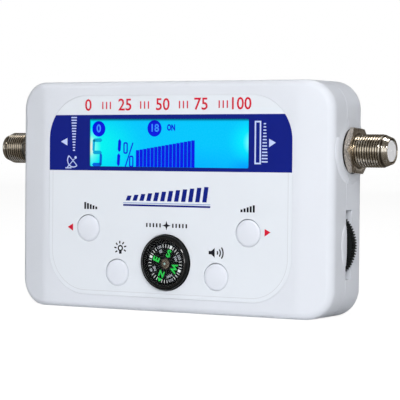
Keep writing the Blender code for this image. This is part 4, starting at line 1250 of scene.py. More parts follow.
@dataclass
class Shells:
    """The two halves of the case, with bosses, posts, openings and the wheel's slot."""

    front_fillet: float = 0.0021
    back_fillet: float = 0.0023
    cavity_fillet: float = 0.0008
    corner_steps: int = 14
    fillet_steps: int = 8
    bend_steps: int = 6
    seam: float = 0.00005
    seam_edge: float = 0.00006
    lip_height: float = 0.0012
    lip_thickness: float = 0.0010
    lip_step: float = 0.0003
    clearance: float = 0.0003
    boss_radius: float = 0.0086
    boss_flare: float = 0.0010
    boss_height: float = 0.0006
    socket_hole: float = 0.0050625
    rise: Triple = (0.0004, 0.0029, 0.0059)
    posts: tuple[Point, ...] = ((-0.0455, -0.0276), (-0.0455, 0.0276), (0.0455, -0.0276), (0.0455, 0.0276))
    post_radius: float = 0.0028
    screw_radius: float = 0.0011
    screw_bite: float = 0.0060
    head_radius: float = 0.0022
    head_room: float = 0.0023
    standoffs: tuple[Point, ...] = (
        (-0.03497, -0.0272), (-0.03497, 0.0262), (0.03497, -0.0272), (0.03497, 0.0262),
    )
    standoff_radius: float = 0.0022
    standoff_end: float = 0.0059
    standoff_bore: Point = (0.0011, 0.0031)
    label_margin: float = 0.00006
    label_recess: float = 0.00028
    pocket_half: Point = (0.0294, 0.0092)
    pocket_near: float = 0.0012
    slot_half: float = 0.0100
    slot_rise: float = 0.0002
    slot_far: float = 0.0147
    front_end: float = CASE.parting - seam / 2
    back_start: float = CASE.parting + seam / 2

    def outline(self, inset: float) -> list[Point]:
        """Outline of the box, with points where the face bends.

        Args:
            inset: How far it is drawn in.

        Returns:
            The points, anticlockwise from the right-hand side.
        """
        corner, top = CASE.corner - inset, CASE.middle_z - inset
        x, z = CASE.bend_end, CASE.middle_z - CASE.corner
        bend = (CASE.bend_end - CASE.bend_start) / self.bend_steps
        bends = [x - bend * (step + 1) for step in range(self.bend_steps)]
        half = arc((x, z), corner, 0, QUARTER, self.corner_steps)
        half += [(b, top) for b in bends] + [(-b, top) for b in reversed(bends)]
        half += arc((-x, z), corner, QUARTER, 2 * QUARTER, self.corner_steps)
        return half + [(-px, -pz) for px, pz in half]

    def fillet(self, inset: float, face: float, radius: float, inward: int) -> list[Ring]:
        """Rings of a rounded edge, from its flat face out to the side wall.

        Args:
            inset: How far the side wall is drawn in.
            face: Depth of the flat face.
            radius: Radius of the edge.
            inward: 1 on the front face, where the depth grows away from it, or -1 on the back.

        Returns:
            The rings.
        """
        angles = [QUARTER * step / self.fillet_steps for step in range(self.fillet_steps + 1)]
        return [
            Ring(inset + radius * (1 - math.sin(a)), face + inward * radius * (1 - math.cos(a)), inward > 0)
            for a in angles
        ]

    def lofted(self, name: str, rings: Sequence[Ring]) -> Thing:
        """Closed body through rings.

        Args:
            name: The object's name.
            rings: The rings in order; an end that falls back is closed in flat strips.

        Returns:
            The body.
        """
        shape, loops = skin([
            [CASE.place(x, ring.depth + ring.falls * CASE.drop(x), z) for x, z in self.outline(ring.inset)]
            for ring in rings
        ])
        for loop, ring in ((loops[0], rings[0]), (loops[-1], rings[-1])):
            faces = self.strips(loop) if ring.falls else [loop]
            for face in faces:
                shape.faces.new(face)
        return object_from(name, shape)

    def strips(self, loop: list[bmesh.types.BMVert]) -> list[list[bmesh.types.BMVert]]:
        """Corners of the front's flat strips between the points where the face bends.

        Args:
            loop: The face's edge.

        Returns:
            The faces.
        """
        first, last = self.corner_steps, len(loop) - self.corner_steps - 1
        lines = [(first + step, last - step) for step in range(2 * self.bend_steps + 2)]
        faces = [
            [loop[top], loop[next_top], loop[next_bottom], loop[bottom]]
            for (top, bottom), (next_top, next_bottom) in zip(lines, lines[1:])
        ]
        return faces + [loop[last:] + loop[: first + 1], loop[lines[-1][0]: lines[-1][1] + 1]]

    def swellings(self, rings: Sequence[Ring], beside_wheel: bool) -> Thing:
        """One shell's part of the socket bosses and of the rise beside the wheel.

        Args:
            rings: Rings of the box that the part lies in.
            beside_wheel: Whether the rise is in it.

        Returns:
            The joined swellings.
        """
        inner = CASE.side_x - CASE.wall / 2
        rise = CASE.side_x + self.boss_height - inner
        wide = self.boss_radius + self.boss_flare
        profile = [(0, 0), (wide, 0), (wide, rise - self.boss_height), (self.boss_radius, rise), (0, rise)]
        parts = [
            turned("boss", profile, side.facing, CASE.place(side.value * inner, *CASE.socket), 128) for side in Side
        ]
        if beside_wheel:
            shape = bmesh.new()
            bmesh.ops.create_uvsphere(shape, u_segments=48, v_segments=24, radius=1)
            bmesh.ops.scale(shape, vec=self.rise, verts=shape.verts)
            middle = CASE.place(CASE.side_x, CASE.parting, CASE.wheel[1])
            parts.append(object_from("wheel_rise", shape, Matrix.Translation(middle)))
        return combine(joined("swellings", parts), Shaping.KEEP, self.lofted("trim", rings))

    def socket_holes(self) -> list[Thing]:
        """Cutters for the sockets' holes in the side walls.

        Returns:
            One rod for each side.
        """
        start = CASE.side_x - CASE.wall - OVERRUN
        hole = rod(self.socket_hole, 0, CASE.wall + self.boss_height + 2 * OVERRUN)
        return [turned("hole", hole, side.facing, CASE.place(side.value * start, *CASE.socket)) for side in Side]

    def post(self, place: Point, radius: float, end: float, bore: float, floor: float) -> Thing:
        """A drilled post on the front wall.

        Args:
            place: Its place across and up the box.
            radius: Its radius.
            end: Depth of its end.
            bore: Radius of its hole.
            floor: Depth of the hole's floor.

        Returns:
            The post.
        """
        root = CASE.wall - self.clearance
        profile = [(0, root), (radius, root), (radius, end), (bore, end), (bore, floor), (0, floor)]
        return turned("post", profile, Facing.INWARD, CASE.place(place[0], 0, place[1]), 32)

    def at_corners(self, profile: Outline) -> list[Thing]:
        """The same turned shape at the four posts."""
        return [turned("post", profile, Facing.INWARD, CASE.place(x, 0, z), 48) for x, z in self.posts]

    def front(self) -> None:
        """Make the front shell with its label recess, openings, posts and standoffs."""
        end, wall = self.front_end, CASE.wall
        rebate = wall + self.lip_step - self.lip_thickness - self.clearance
        rebate_floor = end - self.lip_height - self.clearance
        rings = self.fillet(0, 0, self.front_fillet, 1) + [Ring(0, end - self.seam_edge), Ring(self.seam_edge, end)]
        rings += [Ring(rebate, end), Ring(rebate, rebate_floor), Ring(wall, rebate_floor)]
        cover = self.lofted("front_shell", rings + self.fillet(wall, wall, self.cavity_fillet, 1)[::-1])
        out = -self.boss_height - self.clearance
        trim = self.fillet(out, 0, self.front_fillet + self.boss_height, 1) + [Ring(out, end - self.seam_edge)]
        combine(cover, Shaping.ADD, self.swellings(trim, True))
        bore = (self.screw_radius + self.clearance, end - self.screw_bite - self.clearance)
        posts = [self.post(place, self.post_radius, end, *bore) for place in self.posts]
        low_post = (self.standoff_radius, self.standoff_end, *self.standoff_bore)
        combine(cover, Shaping.ADD, *posts, *(self.post(place, *low_post) for place in self.standoffs))
        recess = flat_shape("recess", [FACE.label(self.label_margin)], -OVERRUN, self.label_recess)
        combine(cover, Shaping.CUT, recess)
        pocket = round_rectangle(self.pocket_half, self.clearance, 2, FACE.window_middle)
        combine(cover, Shaping.CUT, flat_shape("pocket", [pocket], self.pocket_near, wall + OVERRUN))
        openings = [flat_shape("opening", [outline], -OVERRUN, wall + OVERRUN) for outline in FACE.openings()]
        combine(cover, Shaping.CUT, *openings)
        combine(cover, Shaping.CUT, *self.socket_holes())
        fit(smooth(cover, True), CASE_WHITE, stands_for=["front_cover"])

    def back(self) -> None:
        """Make the back shell with its lip, screw posts and the slot for the wheel."""
        start, wall, end = self.back_start, CASE.wall, self.front_end
        lip_inner, lip_base = wall + self.lip_step, start + self.lip_height
        lip_outer, lip_end = lip_inner - self.lip_thickness, end - self.lip_height
        back_wall = CASE.depth - wall
        rings = self.fillet(0, CASE.depth, self.back_fillet, -1)
        rings += [Ring(0, start + self.seam_edge), Ring(self.seam_edge, start), Ring(lip_outer, start)]
        rings += [Ring(lip_outer, lip_end), Ring(lip_inner, lip_end), Ring(lip_inner, lip_base), Ring(wall, lip_base)]
        cover = self.lofted("back_shell", rings + self.fillet(wall, back_wall, self.cavity_fillet, -1)[::-1])
        out = -self.boss_height - self.clearance
        trim = self.fillet(out, CASE.depth, self.back_fillet + self.boss_height, -1)
        combine(cover, Shaping.ADD, self.swellings(trim + [Ring(out, start + self.seam_edge)], False))
        lip_x = CASE.side_x - lip_inner + self.lip_thickness / 2
        half = (self.lip_thickness + self.clearance, self.boss_radius + self.boss_flare)
        gaps = [round_rectangle(half, self.clearance, 2, (side.value * lip_x, CASE.socket[1])) for side in Side]
        gap_end = start - self.seam_edge / 2
        combine(cover, Shaping.CUT, *[flat_shape("gap", [gap], lip_end - OVERRUN, gap_end) for gap in gaps])
        combine(cover, Shaping.ADD, *self.at_corners(rod(self.post_radius, start, back_wall + self.clearance)))
        shank, head = self.screw_radius + self.clearance, self.head_radius + self.clearance
        near, floor, far = start - OVERRUN, CASE.depth - self.head_room, CASE.depth + OVERRUN
        way = [(0, near), (shank, near), (shank, floor), (head, floor), (head, far), (0, far)]
        combine(cover, Shaping.CUT, *self.at_corners(way))
        place = (CASE.side_x, CASE.wheel[1] + self.slot_rise)
        slot = round_rectangle((wall + OVERRUN, self.slot_half), self.clearance, 4, place)
        combine(cover, Shaping.CUT, flat_shape("slot", [slot], lip_end - OVERRUN, self.slot_far))
        combine(cover, Shaping.CUT, *self.socket_holes())
        fit(smooth(cover, True), CASE_WHITE, stands_for=["back_cover"])


@dataclass
class FrontLabel:
    """The printed film in the front shell's recess, with its plain marks in millimetres."""

    thickness: float = 0.00025
    edge: float = 0.00004
    bands: tuple[Point, Point] = ((7.70, 24.40), (7.42, 24.14))
    band_margin: float = 0.02
    window_margin: float = 0.00008
    heading_z: Point = (26.95, 27.25)
    heading_size: float = 4.95
    heading_start: float = -27.7
    heading_step: float = 13.1
    tick_step: float = 1.35
    tick_fall: float = 1.1
    tick_drift: float = 0.3
    rule_half: float = 15.0
    line_margin: float = 1.25
    line_corner: float = 11.85
    line_top: float = 7.6
    white_arrows: tuple[Outline, ...] = (
        ((-37.59, 16.1), (-35.21, 14.9), (-35.21, 17.18)), ((36.39, 16.2), (34.22, 17.27), (34.22, 14.9)),
    )
    red_arrows: tuple[Outline, ...] = (
        ((-34.93, -9.79), (-32.96, -10.9), (-32.96, -8.7)), ((34.92, -9.46), (33.0, -8.5), (33.0, -10.7)),
    )
    dish: Point = (-33.0, 10.5)
    dish_lines: tuple[tuple[Outline, float], ...] = (
        (((-34.6, 8.9), (-35.3, 8.15)), 0.3), (((-35.9, 8.15), (-33.7, 8.15)), 0.34),
    )
    lamp: Point = (-15.9, -15.6)
    lamp_radii: Point = (0.95, 0.5)
    lamp_foot: tuple[float, ...] = (-16.35, -17.3, -15.45, -16.4)
    horn: Outline = ((14.6, -16.4), (15.5, -16.4), (16.6, -17.3), (16.6, -14.5), (15.5, -15.4), (14.6, -15.4))
    waves: Point = (16.8, -15.9)
    wave_radii: Triple = (0.8, 1.7, 2.6)
    wave_half: float = math.radians(38)
    star: Point = (0.15, -8.45)
    star_radii: Point = (1.4, 0.5)

    def navy_band(self) -> list[list[Point]]:
        """Outlines of the band across the label, which follows the label's round corners.

        Returns:
            The band and the window in it.
        """
        half, height, corner = (size / MM for size in (*FACE.label_half, FACE.label_corner))
        centre = (half - corner, height - corner)
        edge = half - self.band_margin
        right, left = (
            [(edge, low), *arc(centre, edge - centre[0], 0, math.asin((high - centre[1]) / corner), 10)]
            for low, high in self.bands
        )
        window = [(x / MM, z / MM) for x, z in FACE.window(-self.window_margin)]
        return [right + [(-x, z) for x, z in reversed(left)], window]

    def heading(self) -> list[Thing]:
        """Plain numbers of a scale from 0 to 100, with ticks between them.

        Returns:
            The parts of the heading.
        """
        parts, (low, high) = [], self.heading_z
        for step in range(5):
            place = (self.heading_start + self.heading_step * step, low + (high - low) * step / 4)
            parts.append(lettered(str(25 * step), self.heading_size, place, bold=0.06))
        for step in range(4):
            x = self.heading_start + self.heading_step * (step + 0.5) - self.tick_step + self.tick_drift * step
            z = low + (high - low) * (step + 0.5) / 4 - self.tick_fall
            parts.append(row_of_bars(RED_INK, 3, (x, z), (self.tick_step, 0), (0.42, 2.2)))
        return parts

    def white_marks(self) -> list[Thing]:
        """Arrows, level ticks, a frame and a small dish on a stand, on the band.

        Returns:
            The marks.
        """
        bowl = arc(self.dish, 2.1, math.radians(140), math.radians(310), 16)
        lines = ((bowl, 0.34), ((bowl[0], bowl[-1]), 0.26), ((bowl[8], (-32.6, 10.9)), 0.26), *self.dish_lines)
        outlines = [*self.white_arrows, *(stroke(*line) for line in lines), circle((-32.2, 11.3), 0.42, 16)]
        marks = prints(outlines, -INK_LIFT)
        marks.append(printed([rectangle(29.5, 9.97, 31.6, 22.4), rectangle(29.95, 10.42, 31.15, 21.95)], -INK_LIFT))
        small, large = (0.7, 0.36), (2.0, 0.36)
        for x, low, high, sizes in ((-32.8, 13.3, 23.2, (small, large)), (32.8, 10.5, 21.4, (large, small))):
            marks.append(row_of_bars(WHITE_INK, 13, (x, low), (0, (high - low) / 12), *sizes, depth=-INK_LIFT))
        return marks

    def signs(self) -> list[Thing]:
        """Plain signs beside the buttons and the compass.

        Returns:
            The signs.
        """
        star = [polar(self.star, self.star_radii[step % 2], QUARTER * (1 + step / 2)) for step in range(8)]
        waves = [arc(self.waves, radius, -self.wave_half, self.wave_half, 8) for radius in self.wave_radii]
        signs = prints([rectangle(*self.lamp_foot), self.horn, star, *(stroke(wave, 0.42) for wave in waves)])
        signs.append(printed([circle(self.lamp, radius, 20) for radius in self.lamp_radii]))
        signs.append(RING.make(
            "rays", BLACK_INK, in_ink(0, metres(self.lamp)), Item=bar_shape(0.8 * MM, 0.42 * MM), Count=7,
            Radius=1.75 * MM, Start=math.radians(-30), Step=math.radians(40),
        ))
        for start, first, last in (((-28.6, -4.2), 2.1, 0.8), ((25.4, -3.9), 0.8, 2.1)):
            signs.append(row_of_bars(BLACK_INK, 5, start, (1.0, 0), (0.68, first), (0.68, last)))
        for sign in (-1, 1):
            start = (self.star[0] + sign * 2.2, -9.05)
            signs.append(row_of_bars(BLACK_INK, 5, start, (sign * 1.15, 0), (0.5, 1.2)))
        return signs

    def build(self) -> None:
        """Make the film and every printed mark."""
        film = flat_shape("label_film", [FACE.label(), *FACE.openings()], 0, self.thickness, self.edge)
        fit(smooth(film), LABEL_WHITE, stands_for=["front_label"])
        # The grey line just inside the label's edge is painted shade of a faint step in the film.
        wide, low = FACE.label_half[0] / MM - self.line_margin, self.line_margin - FACE.label_half[1] / MM
        corner, rule = self.line_corner, self.rule_half
        bend = arc((wide - corner, low + corner), corner, -QUARTER, 0, 24) + [(wide, self.line_top)]
        line = [(-x, z) for x, z in reversed(bend)] + bend
        bars = row_of_bars(NAVY, 12, (-13.4, -1.35), (2.4, 0), (1.45, 1.5), (1.45, 4.5), lean=0.45)
        for name, ink, marks in (
            ("navy_band", NAVY, [printed(self.navy_band())]),
            ("fine_line", SHADE_LINE_GREY, prints([stroke(line, 0.12)])),
            ("white_marks", WHITE_INK, self.white_marks()),
            ("red_marks", RED_INK, prints(self.red_arrows) + self.heading()),
            ("navy_marks", NAVY, [*prints([rectangle(-rule, -2.95, rule, -2.4)]), bars]),
            ("sky_rule", SKY_INK, prints([rectangle(-rule, -2.1, rule, -1.9)])),
            ("black_marks", BLACK_INK, self.signs()),
        ):
            fit(joined("label_" + name, marks), ink)


@dataclass(frozen=True)
class Digit:
    """One digit's lit segments: letters, lower left corner, size, thickness across and up, and lean."""

    lit: str
    corner: Point
    size: Point
    bold: Point
    lean: float
    gap: float = 0.14

    def outlines(self) -> list[list[Point]]:
        """Outlines of the lit segments, with pointed ends and the top leaning to the right.

        Returns:
            One outline for each letter.
        """
        (width, height), upright, level, gap = self.size, self.bold[0] / 2, self.bold[1] / 2, self.gap
        rows = {"a": height - level, "g": height / 2, "d": level}
        outlines = []
        for letter in self.lit:
            if letter in rows:
                z, near, far = rows[letter], gap + level, width - gap - level
                low, high = z - level, z + level
                shape = [(near, low), (far, low), (width - gap, z), (far, high), (near, high), (gap, z)]
            else:
                x = upright if letter in "ef" else width - upright
                low = height / 2 if letter in "bf" else 0
                foot, head = low + gap + upright / 2, low + height / 2 - gap - upright / 2
                shape = [
                    (x, foot - upright / 2), (x + upright, foot + upright / 2), (x + upright, head - upright),
                    (x, head + upright / 2), (x - upright, head - upright / 2), (x - upright, foot + upright),
                ]
            outlines.append([(self.corner[0] + x + self.lean * z / height, self.corner[1] + z) for x, z in shape])
        return outlines


@dataclass
class Display:
    """The lit display cell with its marks, in millimetres on the cell's face."""

    face: float = 0.0015
    thickness: float = 0.0018
    half: Point = (0.0291, 0.0089)
    corner: float = 0.0003
    edge: float = 0.00006
    lining: float = 0.00006
    shift: float = -0.16
    light: LitDisplay = LitDisplay("display_light", srgb(0, 196, 250), 0.25, (
        Glow((8.0, 8.0), (32.0, 8.5), srgb(0, 178, 255)),
        Glow((27.0, 7.6), (9.5, 6.0), srgb(0, 150, 255)),
        Glow((-26.6, 15.0), (20.0, 13.0), srgb(0, 243, 238)),
        Glow((-28.2, 14.4), (4.4, 6.5), srgb(150, 255, 240)),
        Glow((-27.9, 14.6), (1.5, 4.2), srgb(255, 232, 214), 1.6),
        Glow((27.8, 16.6), (9.5, 8.0), srgb(0, 240, 255)),
        Glow((28.2, 16.2), (3.6, 4.2), srgb(150, 255, 255)),
    ), CASE.middle_z + FACE.window_middle[1] + FACE.window_half[1] + 0.0001)
    second: Digit = Digit("bc", (-20.3, 8.65), (3.1, 8.5), (1.05, 0.8), 0.6)
    faint: Digit = Digit("afg", (-27.2, 8.7), (3.6, 8.4), (0.85, 1.05), 0.35)
    strong: Digit = Digit("cd", (-27.2, 8.7), (3.6, 8.4), (0.85, 1.05), 0.35)
    slash: Outline = ((-15.15, 8.75), (-12.5, 15.9))
    slash_width: float = 0.42
    rings: tuple[Point, ...] = ((-15.1, 14.3), (-13.05, 10.3))
    ring_sizes: tuple[tuple[Point, float], ...] = (((0.78, 1.75), 0.6), ((0.34, 1.3), 0.26))
    discs: tuple[tuple[Point, float], ...] = (((-24.7, 20.0), 2.35), ((-5.0, 20.2), 2.45))
    numbers: tuple[tuple[str, float, float], ...] = (("0", 3.3, 0.08), ("18", 3.2, 0.06))
    word_place: Point = (0.75, 20.35)
    bars: tuple[Point, Point, Point, Point] = ((-10.84, 8.75), (1.275, 0), (1.16, 4.95), (1.16, 7.95))

    def moved(self, point: Point) -> Point:
        """A point of the picture, which lies a little to the left of the window's middle."""
        return point[0] + self.shift, point[1]

    def mark(self, *outlines: Outline) -> Thing:
        """A mark on the cell's face."""
        return printed([[self.moved(point) for point in outline] for outline in outlines], self.face)

    def marks(self) -> list[Thing]:
        """The reading's second digit, the sign behind it, the discs, the word and the bars.

        Returns:
            The printed parts.
        """
        marks = [self.mark(shape) for shape in self.second.outlines()]
        marks.append(self.mark(stroke(self.slash, self.slash_width)))
        for place in self.rings:
            marks.append(self.mark(*(round_rectangle(half, corner, 4, place) for half, corner in self.ring_sizes)))
        marks += [self.mark(circle(middle, radius, 48)) for middle, radius in self.discs]
        marks.append(lettered("ON", 2.45, self.moved(self.word_place), self.face, bold=0.12, width=0.72))
        start, *sizes = self.bars
        marks.append(row_of_bars(DIGIT_BLUE, 16, self.moved(start), *sizes, self.face))
        return marks

    def build(self) -> None:
        """Make the cell, its marks and the numbers in its discs."""
        front = round_rectangle(self.half, self.corner, 4, FACE.window_middle)
        cell = flat_shape("display_cell", [front], self.face, self.face + self.thickness, self.edge)
        fit(smooth(cell), self.light, stands_for=["lcd_cell"])
        # The window's side walls take the display's finish: their glow is painted light from the cell falling on them,
        # with a warm patch on the left wall and painted shadow near the front.
        lining = [FACE.window(), FACE.window(-self.lining)]
        fit(flat_shape("window_lining", lining, HAIR_GAP, self.face - 2 * HAIR_GAP), self.light)
        faint, strong = ([self.mark(shape) for shape in digit.outlines()] for digit in (self.faint, self.strong))
        numbers = [
            lettered(text, size, self.moved(middle), self.face - INK_LIFT, bold=bold)
            for (text, size, bold), (middle, _) in zip(self.numbers, self.discs)
        ]
        for name, ink, marks in (
            ("marks", DIGIT_BLUE, self.marks()), ("faint_strokes", DIGIT_TEAL, faint),
            ("strong_strokes", DIGIT_MIXED, strong), ("numbers", DISC_BLUE, numbers),
        ):
            fit(joined("display_" + name, marks), ink)


@dataclass
class Buttons:
    """Four domed caps with their retaining flanges."""

    radius: float = 0.00395
    crown: float = 0.00045
    edge: float = 0.0003
    flange: float = 0.0011
    flange_near: float = 0.0023
    flange_far: float = 0.0031
    skin: float = 0.0010
    stem_radius: float = 0.0016
    clearance: float = 0.0003

    def build(self) -> None:
        """Make the caps on their own bodies."""
        flat = self.radius - self.edge
        profile = [(flat * math.sin(a), -self.crown * math.cos(a)) for a in (QUARTER * k / 14 for k in range(14))]
        profile += arc((flat, self.edge), self.edge, -QUARTER, 0, 5)
        wide, inner, stem_end = self.radius + self.flange, self.radius - self.skin, self.flange_far + self.clearance
        profile += [
            (self.radius, self.flange_near), (wide, self.flange_near), (wide, self.flange_far),
            (inner, self.flange_far), (inner, self.skin), (self.stem_radius, self.skin),
            (self.stem_radius, stem_end), (0, stem_end),
        ]
        for body, (x, z) in FACE.buttons:
            label = body.value.removesuffix("_button")
            cap = turned("cap_" + label, profile, Facing.INWARD, CASE.place(x, 0, z))
            fit(cap, BUTTON_WHITE, body, ["button_" + label])


@dataclass
class Compass:
    """A small liquid compass: its bowl, window and the card that turns in it.

    The profiles and the printed dial are in millimetres. The dial hangs a little low in
    the bowl, so that its middle isn't on the bowl's axis.
    """

    radius: float = 0.0081
    rim: float = 0.0075
    proud: float = 0.00138
    inside: Outline = (
        (9.55, 2.3), (9.55, 3.3), (8.45, 3.3), (8.45, 5.2), (0, 5.2), (0, 2.2), (5.5, 2.2), (6.6, 1.1), (6.6, -0.8),
        (7.05, -0.8), (7.3, -1.1), (7.3, -1.3), (7.4, -1.38),
    )
    bead: Outline = (
        (7.05, -1.05), (7.05, -1.45), (7.1, -1.56), (7.18, -1.595), (7.22, -1.58), (7.5, -1.377), (7.6, -1.25),
        (7.3, -1.05),
    )
    window: Outline = (
        (0, -1.5), *((4.6 + 2.3 * k / 12, -1.5 + 0.36 * (k / 12) ** 2) for k in range(13)), (6.9, -1.1), (0, -1.1),
    )
    card: Outline = ((0, -0.5), (6.12, -0.5), (6.2, -0.42), (6.2, 0), (0.9, 0), (0.9, -0.25), (0, -0.25))
    cap: Outline = (
        (0.38, -0.96), (0.9, -0.96), (0.98, -0.93), (1.5, -0.58), (0, -0.58), (0, -0.84), (0.36, -0.84),
    )
    jewel: Outline = (
        *((0.35 * math.sin(QUARTER * k / 5), -0.84 - 0.15 * math.cos(QUARTER * k / 5)) for k in range(6)), (0, -0.84),
    )
    card_face: float = -0.0005
    north: float = math.radians(248)
    middle: Point = (FACE.compass[0] / MM + 0.12, FACE.compass[1] / MM - 0.31)
    letters: tuple[tuple[str, float], ...] = (("N", 2.5), ("E", 2.95), ("S", 3.1), ("W", 2.6))
    letter_radius: float = 3.15
    degrees: tuple[tuple[str, str], ...] = (("45", "NE"), ("135", "SE"), ("225", "SW"), ("315", "NW"))
    tick_radius: float = 5.22
    tick_length: float = 0.95
    tick_widths: Point = (0.16, 0.75)
    arrow: Outline = ((5.7, 0), (4.65, 0.85), (4.65, -0.85))

    def ticks(self, count: int, width: float, start: float, step: float) -> Thing:
        """Ticks along the dial's radius.

        Args:
            count: How many there are.
            width: Their width in millimetres.
            start: Angle of the first one.
            step: From one to the next.

        Returns:
            The ticks in their place.
        """
        length = self.tick_length * MM
        tick = bar_shape(width * MM, length)
        tick.data.transform(Matrix.Rotation(-QUARTER, 4, "Z") @ Matrix.Translation((0, -length / 2, 0)))
        return RING.make(
            "ticks", DIAL_WHITE, in_ink(self.card_face, metres(self.middle)), Item=tick, Count=count,
            Radius=self.tick_radius * MM, Start=start, Step=step,
        )

    def letter(self, text: str, size: float, radius: float, angle: float, bold: float) -> Thing:
        """A letter or number on the dial that stands upright at its own angle."""
        return lettered(text, size, polar(self.middle, radius, angle), self.card_face, angle - QUARTER, bold)

    def marks(self) -> None:
        """Print the ticks, blocks, numbers and letters on the card."""
        fine, wide = self.tick_widths
        starts = [self.north + step // 2 * QUARTER + math.radians(10 + 50 * (step % 2)) for step in range(8)]
        white = [self.ticks(3, fine, start, math.radians(10)) for start in starts]
        white.append(self.ticks(3, wide, self.north + QUARTER, QUARTER))
        grey, green = [], []
        for step, ((number, quarter), (letter, size)) in enumerate(zip(self.degrees, self.letters)):
            angle = self.north - step * QUARTER
            grey.append(self.letter(number, 1.05, 5.15, angle - QUARTER / 2, 0.02))
            grey.append(self.letter(quarter, 1.15, 3.85, angle - QUARTER / 2, 0.02))
            green.append(self.letter(letter, size, self.letter_radius, angle, 0.11))
        turn = Matrix.Rotation(self.north, 2)
        arrow = [tuple(Vector(self.middle) + turn @ Vector(tip)) for tip in self.arrow]
        green.append(printed([arrow], self.card_face))
        rows = [("white", DIAL_WHITE, white), ("grey", DIAL_GREY, grey), ("green", DIAL_GREEN, green)]
        for name, ink, marks in rows:
            fit(joined(f"dial_{name}_marks", marks), ink, Body.CARD)

    def build(self) -> None:
        """Make the bowl with its rounded rim, the window, and the card with its marks and cap."""
        shoulder = self.radius - self.rim
        edge = arc((self.rim, shoulder - self.proud), shoulder, -QUARTER, 0, 8)
        bowl = edge + [(self.radius, self.inside[0][1] * MM), *in_metres(self.inside)]
        axis, dial = (CASE.place(x, 0, z) for x, z in (FACE.compass, metres(self.middle)))
        for name, profile, origin, segments, finish, slot, body, nodes in (
            ("compass_case", bowl, axis, 128, BLACK_GLOSS, "black_plastic", Body.HOUSING, ["compass_bowl"]),
            ("compass_lip", in_metres(self.bead), axis, 128, BLACK_LIP, "black_plastic", Body.HOUSING, []),
            ("compass_window", in_metres(self.window), axis, 96, LENS, "clear_lens", Body.HOUSING, ["compass_lens"]),
            ("dial_card", in_metres(self.card), axis, 96, DIAL_BLACK, "card_face", Body.CARD, ["compass_card"]),
            ("dial_cap", in_metres(self.cap), dial, 48, AGED_BRASS, "brass", Body.CARD, ["card_cap"]),
            ("dial_jewel", in_metres(self.jewel), dial, 24, PIVOT_HIGHLIGHT_JEWEL, "brass", Body.CARD, []),
        ):
            fit(turned(name, profile, Facing.INWARD, origin, segments), finish, body, nodes)
        self.marks()


@dataclass
class Socket:
    """One threaded socket with its nut, washer and insulator.

    The outlines are in millimetres: radius, and distance from the middle of the meter.
    """

    side: Side
    core: Outline = (
        (3.35, 46.25), (4.2, 46.25), (4.2, 49.15), (5.8, 49.15), (5.8, 51.15), (4.7625, 51.15), (4.7625, 54.2),
        (4.3025, 54.5), (4.3025, 65.211), (4.1, 65.7), (3.9, 65.78), (3.9, 66.3), (3.8, 66.5), (3.6, 66.6),
        (3.5, 66.6), (3.35, 66.45),
    )
    root: float = 0.0043025
    pitch: float = 0.00079375
    thread_depth: float = 0.00046
    thread_start: float = 0.0545
    turns: float = 14.0
    cone_start: float = 0.0641
    cone_slope: float = 0.4140625
    nut_hole: float = 0.00496
    nut_edge: Point = (0.00024, 0.0002)
    nut_near: float = 0.05452
    nut_far: float = 0.05635
    nut_radius: float = 0.0074
    nut_turn: float = math.radians(3.8)
    nut_chamfer: float = 0.45
    collar: Outline = ((4.4, 56.4), (4.7825, 56.4), (4.7825, 58.1), (4.6825, 58.2), (4.4, 58.2))
    plug: Outline = (
        (1.1, 46.25), (3.05, 46.25), (3.05, 66.3), (2.95, 66.4), (0.28, 66.4), (0.25, 65.4), (1.1, 65.4),
    )
    washer: Outline = ((4.96, 54.06), (6.55, 54.06), (6.6, 54.11), (6.6, 54.39), (6.55, 54.44), (4.96, 54.44))

    def origin(self, along: float = 0) -> Vector:
        """World point on the axis at a distance from the middle of the meter."""
        return CASE.place(self.side.value * along, *CASE.socket)

    def turn(self, name: str, profile: Outline, segments: int = 96) -> Thing:
        """Turn a profile of (radius, distance from the middle of the meter) about the socket's axis."""
        return turned(f"{name}_{self.side.label}", profile, self.side.facing, self.origin(), segments)

    def dress(self, thing: Thing, finish: Finish, slot: str, node: str = "") -> None:
        """Fit a piece, in the place of this side's node if there is one."""
        fit(thing, finish, stands_for=[f"{node}_{self.side.label}"] if node else [])

    def barrel(self) -> None:
        """Make the barrel with its wound thread."""
        start = self.thread_start
        core = self.turn("core", in_metres(self.core))
        ridge = THREAD.make(
            "ridge", NICKEL, self.side.facing.at(self.origin(start)), Root_Radius=self.root, Depth=self.thread_depth,
            Pitch=self.pitch, Turns=self.turns, Cone_Start=self.cone_start - start, Cone_Slope=self.cone_slope,
        )
        barrel = smooth(joined("socket_barrel_" + self.side.label, [core, smooth(ridge)]))
        self.dress(barrel, NICKEL, "nickel", "socket_body")

    def nut(self) -> None:
        """Make the hexagon nut with its turned chamfers."""
        near, far, wide, hole = self.nut_near, self.nut_far, self.nut_radius, self.nut_hole
        flat = wide * math.cos(math.pi / 6)
        chamfer = (wide - flat) * self.nut_chamfer
        profile = [
            (hole, near), (flat, near), (wide, near + chamfer), (wide, far - chamfer), (flat, far),
            (hole + self.nut_edge[0], far), (hole, far - self.nut_edge[1]),
        ]
        body = self.turn("lock_nut", profile, 144)
        corners = [self.nut_turn + step * math.pi / 3 for step in range(6)]
        rings = [
            [Vector((self.side.value * along, -wide * math.cos(a), wide * math.sin(a))) for a in corners]
            for along in (near - OVERRUN, far + OVERRUN)
        ]
        combine(body, Shaping.KEEP, capped("hexagon", rings, Matrix.Translation(self.origin())))
        self.dress(smooth(body, True), NUT_PLATE, "nickel", "nut")

    def build(self) -> None:
        """Make the whole socket; only the left-hand one has a dull sleeve between its nut and its thread."""
        self.barrel()
        if self.side is Side.LEFT:
            self.dress(self.turn("socket_collar", in_metres(self.collar)), DULL_STEEL, "nickel")
        self.dress(self.turn("socket_plug", in_metres(self.plug), 64), PLUG_WHITE, "insulation", "insulator")
        self.dress(self.turn("lock_washer", in_metres(self.washer), 64), DARK_STEEL, "dark_steel", "washer")
        self.nut()


